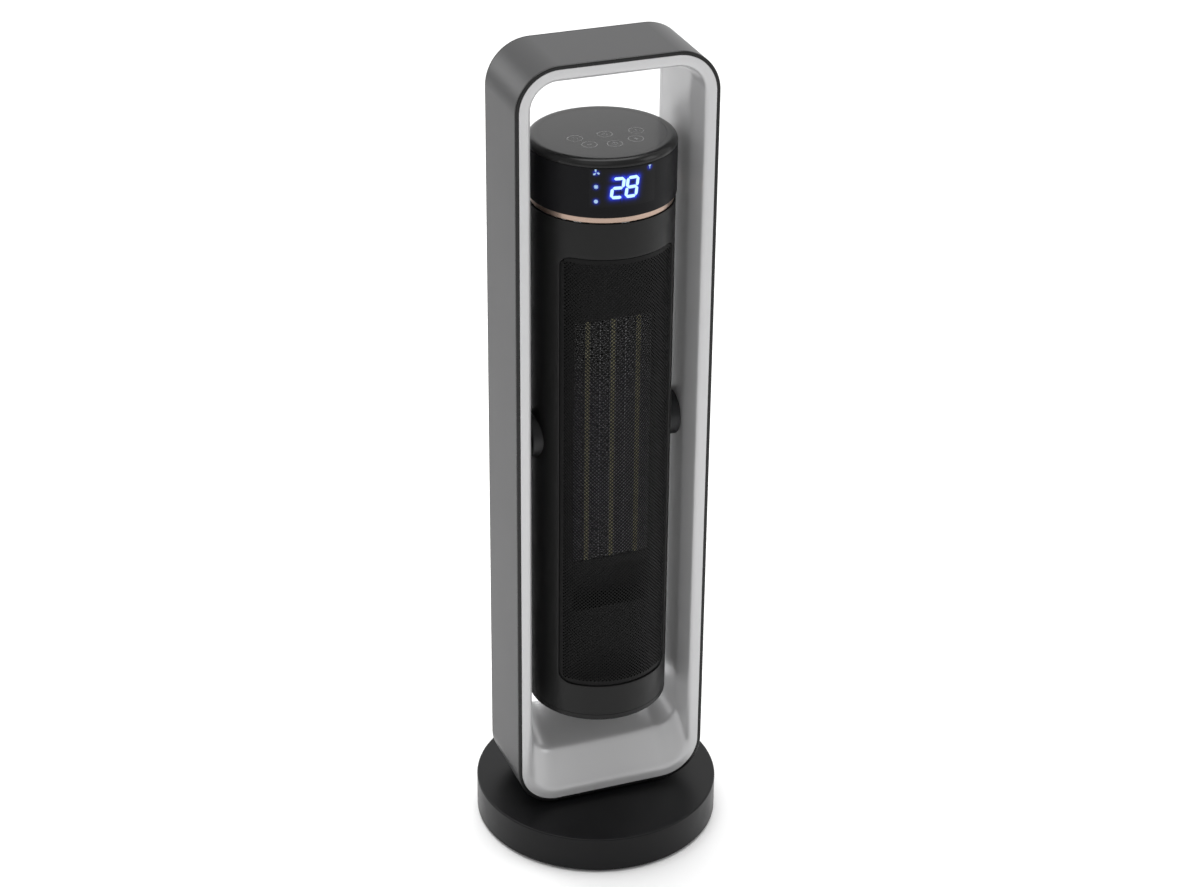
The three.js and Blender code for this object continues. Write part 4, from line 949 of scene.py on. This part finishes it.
def make_intake_grille():
    """Columns of slots with round ends, behind the blower."""
    outer = BODY_RADIUS - 0.9 * MM
    margin, columns, pitch = 5 * MM, 7, 5.2 * MM
    span = math.asin((WINDOW_HALF - GROOVE) / outer) * outer - margin
    low, high = WINDOW_BOTTOM + GROOVE + margin, WINDOW_TOP - GROOVE - margin
    rows = round((high - low) / pitch)
    wide, bar, slot_half = span / outer, 2.2 * MM, 1.5 * MM
    parts = 6        # steps of each cell along the curve
    sheet = Sheet(outer, outer - 1.5 * MM, 1)
    width, height = 2 * wide / columns, (high - low) / rows
    for i in range(columns):
        for j in range(rows):
            left, right = -wide + i * width, -wide + (i + 1) * width
            down, up = low + j * height, low + (j + 1) * height
            middle = (down + up) / 2
            first = left + (bar / 2 + slot_half) / outer
            last = right - (bar / 2 + slot_half) / outer
            ends = [(last, -60), (last, 0), (last, 60), (first, 120), (first, 180), (first, 240)]
            tips = [(at + slot_half / outer * math.cos(math.radians(turn)),
                     middle + slot_half * math.sin(math.radians(turn))) for at, turn in ends]
            lower = [(first + (last - first) * k / parts, middle - slot_half) for k in range(parts + 1)]
            upper = [(at, middle + slot_half) for at, _ in reversed(lower)]
            hole = [*lower, *tips[:3], *upper, *tips[3:]]
            across = [left + width * k / parts for k in range(parts + 1)]
            for k in range(parts):
                sheet.patch([(across[k], down), (across[k + 1], down), lower[k + 1], lower[k]])
                sheet.patch([(across[k + 1], up), (across[k], up), upper[parts - k], upper[parts - k - 1]])
            sheet.patch([(right, down), (right, up), upper[0], *reversed(tips[:3]), lower[-1]])
            sheet.patch([(left, up), (left, down), lower[0], *reversed(tips[3:]), upper[-1]])
            for k, point in enumerate(hole):
                sheet.wall(hole[(k + 1) % len(hole)], point)
    count = columns * parts
    rim = [(-wide + 2 * wide * k / count, low) for k in range(count)]
    rim += [(wide, low + (high - low) * k / rows) for k in range(rows)]
    rim += [(wide - 2 * wide * k / count, high) for k in range(count)]
    rim += [(-wide, high - (high - low) * k / rows) for k in range(rows)]
    sheet.border(rim, panel_edge(rim, outer, wide, low, high))
    fine_piece("intake_grille", (sheet.vertices, sheet.faces), "grille_black", "heater_body", 40)


def make_round_casings():
    inner = DISPLAY_RADIUS - 2.4 * MM
    seat = cap_high.z - 2 * MM
    panel_radius = panel_high.x
    rim = SHELL_BOTTOM - SEAM
    inside = BODY_RADIUS - SHELL_WALL
    profiles = {
        "display_band": ("gloss_black", [
            (inner, display_low.z, 0.3 * MM),
            (DISPLAY_RADIUS, display_low.z, 0.7 * MM),
            (DISPLAY_RADIUS, display_high.z, 0.35 * MM),
            (inner, display_high.z, 0.2 * MM),
        ]),
        "accent_ring": ("rose_gold", [
            (ring_high.x - 3.4 * MM, ring_low.z, 0),
            (ring_high.x, ring_low.z, 0.9 * MM),
            (ring_high.x, ring_high.z, 0.9 * MM),
            (ring_high.x - 3.4 * MM, ring_high.z, 0),
        ]),
        "top_cap": ("panel_grey", [
            (panel_radius - 6 * MM, seat - 2.4 * MM, 0),
            (inner, seat - 2.4 * MM, 0),
            (inner, display_high.z + SEAM, 0),
            (cap_high.x, display_high.z + SEAM, 0.35 * MM),
            (cap_high.x, cap_high.z, 6 * MM),
            (panel_radius + FINE_SEAM, cap_high.z, 0.08 * MM),
            (panel_radius + FINE_SEAM, seat, 0),
            (panel_radius - 6 * MM, seat, 0),
        ]),
        "touch_panel": ("panel_grey", [
            (0, panel_low.z, 0),
            (panel_radius, panel_low.z, 0.2 * MM),
            (panel_radius, PANEL_TOP, 0.08 * MM),
            (0, PANEL_TOP, 0),
        ]),
        "bottom_cap": ("body_black", [
            (0, BODY_BOTTOM, 0),
            (BODY_RADIUS, BODY_BOTTOM, 1.8 * MM),
            (BODY_RADIUS, rim, 0.3 * MM),
            (inside - SEAM, rim, 0),
            (inside - SEAM, rim + 4 * MM, 0.4 * MM),
            (inside - 3 * MM, rim + 4 * MM, 0.4 * MM),
            (inside - 3 * MM, BODY_BOTTOM + 3 * MM, 0),
            (0, BODY_BOTTOM + 3 * MM, 0),
        ]),
    }
    for name, (finish, corners) in profiles.items():
        even_normals(fine_piece(name, lathe(fillet(corners, 8)), finish, "heater_body"))


def make_trunnions():
    """Round bosses that meet the casing, each with a hollow pin through the frame's bush."""
    bore, inner_pin, outer_pin = 4 * MM, 8 * MM, 7 * MM
    start, step, end = pin_low.x, 70 * MM, pin_high.x
    boss_start = 55 * MM      # inside the casing, cut back to its curve below
    boss = lathe(fillet([
        (bore, boss_start, 0),
        (BOSS_RADIUS, boss_start, 0),
        (BOSS_RADIUS, BOSS_END, 0.9 * MM),
        (bore, BOSS_END, 0),
    ], 6), 96)
    pin = lathe(fillet([
        (bore, start, 0.3 * MM),
        (inner_pin, start, 0.3 * MM),
        (inner_pin, step, 0),
        (outer_pin, step, 0),
        (outer_pin, end, 0.6 * MM),
        (bore, end, 0.3 * MM),
    ]), SMALL_STEPS)
    casing = rod(BODY_RADIUS + 0.2 * MM, -50 * MM, 50 * MM, ROUND_STEPS)
    for side, turn in (("right", 0), ("left", math.pi)):
        name = "pivot_trunnion_" + side
        made = mesh_object(name + "_fine", along_x(boss))
        combine(made, "DIFFERENCE", casing)
        combine(made, "UNION", along_x(pin))
        made.data.transform(Matrix.Translation((0, 0, PIVOT_HEIGHT)) @ Matrix.Rotation(turn, 4, "Z"))
        finished(made, "boss_black", "heater_body", name)


# ---------------------------------------------------------------- heater body: display and touch marks

DIGIT_WIDTH = 9.6 * MM                   # between the middle lines of the strokes, as the height is
DIGIT_HEIGHT = 17.8 * MM
DIGIT_STROKE = 2.9 * MM
DIGIT_CENTRES = (-10.5 * MM, 2.8 * MM)   # along the curve from the middle of the front
DIGIT_LEVEL = 708 * MM
DIGIT_SLANT = math.tan(math.radians(7))
SIGN_LIFTS = (0.04 * MM, 0.16 * MM)      # back and front of the lit signs, above the glass
ICON_GLOW = 0.55
SEGMENTS_OF = {"2": "abged", "8": "abcdefg"}
SEGMENT_ENDS = {                         # in half widths and half heights
    "a": ((-1, 1), (1, 1)),
    "b": ((1, 1), (1, 0)),
    "c": ((1, 0), (1, -1)),
    "d": ((-1, -1), (1, -1)),
    "e": ((-1, 0), (-1, -1)),
    "f": ((-1, 1), (-1, 0)),
    "g": ((-1, 0), (1, 0)),
}


def on_display(along, z, lift):
    radius = DISPLAY_RADIUS + lift
    return wrapped((along / DISPLAY_RADIUS, z), radius, -1)


def segment_lines():
    """The middle lines of the lit segments of the two digits, as pairs of (along, height) points."""
    lines = []
    for digit, centre in zip("28", DIGIT_CENTRES):
        for letter in SEGMENTS_OF[digit]:
            ends = [Vector((x * DIGIT_WIDTH / 2, z * DIGIT_HEIGHT / 2)) for x, z in SEGMENT_ENDS[letter]]
            shorter = (ends[1] - ends[0]).normalized() * 0.35 * MM
            ends = [ends[0] + shorter, ends[1] - shorter]
            lines.append([(centre + x + DIGIT_SLANT * z, DIGIT_LEVEL + z) for x, z in ends])
    return lines


def bar_strip(start, end, half_width, steps=8):
    """A bar with pointed ends on the curved display, just proud of its glass."""
    a, b = Vector(start), Vector(end)
    length = (b - a).length
    along = (b - a) / length
    aside = Vector((-along.y, along.x))
    loops = []
    for step in range(steps + 1):
        at = length * step / steps
        half = max(min(half_width, at + 0.25 * MM, length - at + 0.25 * MM), 0)
        centre = a + along * at
        corners = [centre - aside * half, centre + aside * half]
        low, high = SIGN_LIFTS
        loops.append([on_display(*corners[0], low), on_display(*corners[1], low),
                      on_display(*corners[1], high), on_display(*corners[0], high)])
    return capped(loops)


def star(centre, points, inner, outer):
    """A closed outline whose points lie on two circles by turns."""
    outline = []
    for k in range(2 * points):
        angle = math.pi * k / points
        reach = outer if k % 2 == 0 else inner
        outline.append((centre[0] + reach * math.cos(angle), centre[1] + reach * math.sin(angle)))
    return outline


def display_plate(outline):
    return capped([[on_display(x, z, lift) for x, z in outline] for lift in SIGN_LIFTS])


ICON_COLUMN = -29.9 * MM
ICON_LEVELS = (723.0 * MM, 709.5 * MM, 695.5 * MM)
SIDE_ICON = (20.8 * MM, 723.5 * MM)


def fan_blades(centre, corners):
    """Three blades round a centre. Each corner is along the blade and aside from it, in millimetres."""
    blades = []
    for k in range(3):
        angle = math.radians(90 + 120 * k)
        tip = Vector((math.cos(angle), math.sin(angle)))
        aside = Vector((-tip.y, tip.x))
        points = [(tip * along + aside * across) * MM for along, across in corners]
        blades.append([(centre[0] + p.x, centre[1] + p.y) for p in points])
    return blades


def icon_outlines():
    """A fan, a sun, a nearly round sign and a small beacon, all plain."""
    fan, sun, mode = [(ICON_COLUMN, z) for z in ICON_LEVELS]
    blades = fan_blades(fan, [(0.3, 0), (1.5, 1.3), (3.2, 1.2), (3.0, -0.4)])
    signal = [(SIDE_ICON[0] + x * MM, SIDE_ICON[1] + z * MM)
              for x, z in ((-1.5, 1.7), (1.5, 1.7), (0.35, 0), (0.35, -1.7), (-0.35, -1.7), (-0.35, 0))]
    return [*blades, star(sun, 8, 1.3 * MM, 2.3 * MM), star(mode, 12, 1.7 * MM, 1.9 * MM), signal]


def with_glow(made, values):
    glow = made.data.attributes.new("glow", "FLOAT", "POINT")
    glow.data.foreach_set("value", np.array(values, np.float32))


def make_display():
    lines = segment_lines()
    bars = [bar_strip(*line, DIGIT_STROKE / 2) for line in lines]
    digits = mesh_object("display_digits", merged(*bars), 50)
    with_glow(digits, np.ones(len(digits.data.vertices)))
    finished(digits, "display_light", "heater_body")
    icons = mesh_object("display_icons", merged(*[display_plate(outline) for outline in icon_outlines()]), 50)
    with_glow(icons, np.full(len(icons.data.vertices), ICON_GLOW))
    finished(icons, "display_light", "heater_body")

    # painted glow: the glass glows blue round the lit signs, fading with the distance to the nearest one
    left, right, low, high = -36 * MM, 27 * MM, 690 * MM, 726 * MM
    columns, rows, fade = 126, 72, 1.2 * MM
    grid_x, grid_z = np.meshgrid(np.linspace(left, right, columns + 1), np.linspace(low, high, rows + 1))
    nearest = np.full(grid_x.shape, 1.0)
    for (x0, z0), (x1, z1) in lines:
        run = np.array([x1 - x0, z1 - z0])
        share = ((grid_x - x0) * run[0] + (grid_z - z0) * run[1]) / (run @ run)
        share = np.clip(share, 0, 1)
        away = np.hypot(grid_x - x0 - share * run[0], grid_z - z0 - share * run[1]) - DIGIT_STROKE / 2
        nearest = np.minimum(nearest, np.maximum(away, 0))
    glow = np.exp(-nearest / fade)
    # round the small signs the painted glow is weaker and fades sooner
    for x, z in [(ICON_COLUMN, level) for level in ICON_LEVELS] + [SIDE_ICON]:
        away = np.maximum(np.hypot(grid_x - x, grid_z - z) - 2 * MM, 0)
        glow = np.maximum(glow, 0.5 * np.exp(-away / (0.6 * fade)))
    border = np.minimum(np.minimum(grid_x - left, right - grid_x), np.minimum(grid_z - low, high - grid_z))
    glow *= np.clip(border / (2 * MM), 0, 1)
    sheets = []
    for lift in (0.0, 0.03 * MM):
        sheets.append([[on_display(x, z, lift) for x, z in zip(xs, zs)] for xs, zs in zip(grid_x, grid_z)])
    vertices = [point for layer in sheets for row in layer for point in row]
    back, front = (skin(layer, around=False, along=False)[1] for layer in sheets)
    size = (columns + 1) * (rows + 1)
    edge = [*range(columns + 1), *[(r + 1) * (columns + 1) - 1 for r in range(1, rows + 1)],
            *[size - 1 - k for k in range(1, columns + 1)],
            *[r * (columns + 1) for r in range(rows - 1, 0, -1)]]
    faces = [*back, *[tuple(i + size for i in face) for face in front]]
    faces += [(a, b, b + size, a + size) for a, b in zip(edge, edge[1:] + edge[:1])]
    glass = mesh_object("display_glow_glass", (vertices, faces), 50)
    values = np.concatenate([glow.ravel(), glow.ravel()])
    lookup = {tuple(np.round(p, 7)): v for p, v in zip(vertices, values)}
    with_glow(glass, [lookup.get(tuple(np.round(v.co[:], 7)), 0) for v in glass.data.vertices])
    finished(glass, "gloss_black", "heater_body")
    glass.data.materials[0] = GLOW_ON_GLASS


def flat_plate(outline):
    return prism(outline, PANEL_TOP - MARK_DEPTH, PANEL_TOP + 0.05 * MM)


def arc_band(centre, inner, outer, start, end, steps=24):
    """A curved stroke of the XY plane between two directions, in degrees."""
    angles = [math.radians(start + (end - start) * k / steps) for k in range(steps + 1)]
    outside = [(centre[0] + outer * math.cos(a), centre[1] + outer * math.sin(a)) for a in angles]
    inside = [(centre[0] + inner * math.cos(a), centre[1] + inner * math.sin(a)) for a in reversed(angles)]
    return outside + inside


def stroke(centre, along, across, half_length, half_width):
    """A straight stroke: along and across say where its middle is, from the centre, in millimetres."""
    x, y = centre[0] + along[0] * MM, centre[1] + along[1] * MM
    run = Vector(across).normalized()
    aside = Vector((-run.y, run.x)) * half_width * MM
    run = run * half_length * MM
    return [(x + s * run.x + t * aside.x, y + s * run.y + t * aside.y) for s, t in
            ((-1, -1), (1, -1), (1, 1), (-1, 1))]


THICK, THIN = 0.5, 0.4       # half widths of the strokes, in millimetres
MARK_RING = (6.4 * MM, 7.3 * MM)
# Each touch mark: its centre, its arcs (inner and outer radius, from and to in degrees) and its strokes
# (middle, direction, half length, half width), in millimetres.
TOUCH_MARKS = {
    "speed": ((-29.0, -7.5), [], []),
    "timer": ((0.0, -6.3), [(2.3, 2.8, 0, 358)],
              [((0, 0.8), (0, 1), 1.0, THIN), ((1.1, -0.2), (1, 0), 0.8, THIN)]),
    "swing": ((30.0, -7.2), [(2.2, 2.7, 205, 335)],
              [((0, 1.0), (0, 1), 1.6, THIN), ((-2.6, -0.9), (-1, 1.6), 0.8, THIN),
               ((2.6, -0.9), (1, 1.6), 0.8, THIN)]),
    "less": ((-21.6, -25.3), [], [((0, 0), (1, 0), 2.4, THICK)]),
    "power": ((0.7, -30.6), [(2.1, 2.7, 120, 420)], [((0, 2.0), (0, 1), 1.5, THICK)]),
    "more": ((22.7, -25.7), [], [((0, 0), (1, 0), 2.4, THICK), ((0, 1.4), (0, 1), 1.0, THICK),
                                 ((0, -1.4), (0, 1), 1.0, THICK)]),
}


def make_touch_marks():
    """Six touch marks, each a fine ring round a plain sign."""
    plates = []
    for sign, (place, arcs, strokes) in TOUCH_MARKS.items():
        centre = (place[0] * MM, place[1] * MM)
        ring = rod(MARK_RING[1], -MARK_DEPTH, 0.04 * MM, 64, MARK_RING[0])
        plates.append(moved(ring, Matrix.Translation((*centre, PANEL_TOP))))
        outlines = [arc_band(centre, inner * MM, outer * MM, *turn) for inner, outer, *turn in arcs]
        outlines += [stroke(centre, *values) for values in strokes]
        if sign == "speed":
            outlines += fan_blades(centre, [(0.6, 0), (1.5, 1.1), (2.9, 0.9), (2.7, -0.2)])
        plates += [flat_plate(outline) for outline in outlines]
    finished(mesh_object("touch_marks", merged(*plates), 50), "panel_print", "heater_body")


# ---------------------------------------------------------------- heater body: element and blower


def make_fin_packs():
    """Zigzag aluminium fins between thin side plates, upright across the air's way."""
    plate, foil, pitch = 0.6 * MM, 0.22 * MM, 2.6 * MM
    for name in sorted(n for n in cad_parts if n.startswith("fin_pack_")):
        low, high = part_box(name)
        walls = [(low.x, low.x + plate), (high.x - plate, high.x)]
        if high.x - low.x > 15 * MM:
            middle = (low.x + high.x) / 2
            walls.insert(1, (middle - plate, middle + plate))
        parts = [block((a, low.y, low.z), (b, high.y, high.z)) for a, b in walls]
        for (_, left), (right, _) in zip(walls, walls[1:]):
            count = 2 * round((high.z - low.z - 1 * MM) / pitch)
            step = (high.z - low.z - 1 * MM) / count
            crests = [(left if k % 2 == 0 else right, low.z + 0.5 * MM + k * step) for k in range(count + 1)]
            y0, y1 = low.y + 0.3 * MM, high.y - 0.3 * MM
            loops = [[(x, y0, z - foil), (x, y1, z - foil), (x, y1, z + foil), (x, y0, z + foil)]
                     for x, z in crests]
            parts.append(capped(loops))
        fine_piece(name, merged(*parts), "aluminium", "heater_body", 20)


def make_blower_wheel():
    """A cross-flow wheel: curved blades between round plates, on two shaft stubs."""
    radius = (wheel_high.x - wheel_low.x) / 2
    blades, plates = 32, 7
    shaft, stub_low, stub_high = 3 * MM, 17 * MM, 19 * MM
    bottom, top = wheel_low.z + stub_low - 1 * MM, wheel_high.z - stub_high
    thick = 1.6 * MM
    parts = []
    for k in range(plates):
        z = bottom + (top - thick - bottom) * k / (plates - 1)
        bore = 0 if k in (0, plates - 1) else radius - 7 * MM
        parts.append(rod(radius, z, z + thick, 64, bore))
    for k in range(blades):
        outline = []
        for edge, order in ((0.3 * MM, range(7)), (-0.3 * MM, range(6, -1, -1))):
            for step in order:
                share = step / 6
                reach = radius - 6.6 * MM + 6.2 * MM * share
                lean = 0.16 * (1 - (1 - share) ** 2) + edge / reach
                angle = FULL_TURN * k / blades + lean
                outline.append((reach * math.cos(angle), reach * math.sin(angle)))
        parts.append(prism(outline, bottom + 0.2 * MM, top - 0.2 * MM))
    parts.append(rod(shaft, wheel_low.z, bottom + 1 * MM, 24))
    parts.append(rod(shaft, top - 1 * MM, wheel_high.z, 24))
    place = Matrix.Translation((0, WHEEL_AXIS, 0))
    fine_piece("blower_wheel", moved(merged(*parts), place), "wheel_black", "blower", 40)


# ---------------------------------------------------------------- CAD nodes that stay

KEPT_NODES = {
    "base_black": ["base_plate"],
    "cast_iron": ["ballast_plate"],
    "steel": ["oscillation_motor", "thermal_cutout", "blower_motor"],
    "white_nylon": ["drive_pinion", "tip_plunger", "hub_gear", "pivot_bushing_right", "pivot_bushing_left"],
    "switch_black": ["tip_switch"],
    "duct_black": ["heater_duct", "element_cap_bottom", "element_cap_top", "scroll_housing"],
    "ptc_ceramic": ["ceramic_bar_1", "ceramic_bar_2", "ceramic_bar_3"],
    "board_green": ["control_board", "display_board"],
    "bronze": ["wheel_bearing"],
}


def finish_kept_nodes():
    for finish, names in KEPT_NODES.items():
        for name in names:
            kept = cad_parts[name]
            kept.data.materials.clear()
            kept.data.materials.append(FINISHES[finish])
            add_bevel(kept, 0.25 * MM, 60)


# ---------------------------------------------------------------- studio


def make_floor():
    reach = 6.0      # metres, from the middle to each side
    floor = mesh_object("studio_floor", ([(-reach, -reach, 0), (reach, -reach, 0), (reach, reach, 0),
                                          (-reach, reach, 0)], [(0, 1, 2, 3)]))
    floor.data.materials.append(surface("floor_paint", (0.93, 0.93, 0.93), 0.7, mottle=0.01, patch=400,
                                        grain=3, depth=0.01))


def area_light(name, place, aim, size, power):
    """A soft rectangular light of a size in metres, with a power in watts."""
    data = bpy.data.lights.new(name, "AREA")
    data.shape = "RECTANGLE"
    data.size, data.size_y = size
    data.energy = power
    light = bpy.data.objects.new(name, data)
    light.location = place
    light.rotation_euler = (Vector(aim) - Vector(place)).to_track_quat("-Z", "Y").to_euler()
    bpy.context.scene.collection.objects.link(light)


def make_studio():
    make_floor()
    world = bpy.data.worlds.new("studio")
    world.use_nodes = True
    tree = world.node_tree
    sky = tree.nodes["Background"]
    sky.inputs["Color"].default_value = (1, 1, 1, 1)
    place = node(tree, "ShaderNodeTexCoord").outputs["Generated"]
    parts = node(tree, "ShaderNodeSeparateXYZ")
    tree.links.new(place, parts.inputs[0])
    tree.links.new(ranged(tree, parts.outputs["Y"], 0.45, 1.15, -0.5, 0.5), sky.inputs["Strength"])
    bpy.context.scene.world = world
    bpy.context.scene.view_settings.view_transform = "Standard"
    middle = (0, 0, 0.42)
    area_light("key", (-1.6, -2.4, 2.6), middle, (2.6, 2.6), 12)
    area_light("fill", (2.4, -1.6, 1.6), middle, (1.2, 2.0), 15)
    area_light("top", (0, 0.6, 3.4), middle, (3.0, 3.0), 95)
    area_light("back", (-1.7, 3.0, 1.5), middle, (0.8, 1.4), 14)


def make_camera():
    """A long lens from the front left and above, with the heater upright in a wide picture."""
    azimuth, elevation, roll = (math.radians(a) for a in (-20.66, 28.08, 0.48))
    distance, aside, aim_height = 2.615, -7.7 * MM, 416.1 * MM
    back = Vector((
        math.sin(azimuth) * math.cos(elevation),
        -math.cos(azimuth) * math.cos(elevation),
        math.sin(elevation),
    ))
    right = Vector((math.cos(azimuth), math.sin(azimuth), 0))
    data = bpy.data.cameras.new("camera")
    data.sensor_width, data.lens = 36, 83.33      # millimetres
    camera = bpy.data.objects.new("camera", data)
    camera.location = Vector((0, 0, aim_height)) + right * aside + back * distance
    level = (-back).to_track_quat("-Z", "Y").to_matrix().to_4x4()
    camera.rotation_euler = (Matrix.Rotation(roll, 4, back) @ level).to_euler()
    bpy.context.scene.collection.objects.link(camera)
    bpy.context.scene.camera = camera


# ---------------------------------------------------------------- the whole heater

make_camera()
make_studio()
make_base_cover()
make_feet()
make_base_screws()
make_gland()
make_bezel()
make_rocker()
make_band()
make_edge_trims()
make_front_liner()
make_rear_liner()
make_hub()
make_shell("front_shell", -1)
make_shell("rear_shell", 1)
make_front_grille()
make_intake_grille()
make_round_casings()
make_trunnions()
make_display()
make_touch_marks()
make_fin_packs()
make_blower_wheel()
finish_kept_nodes()

bpy.context.view_layer.update()
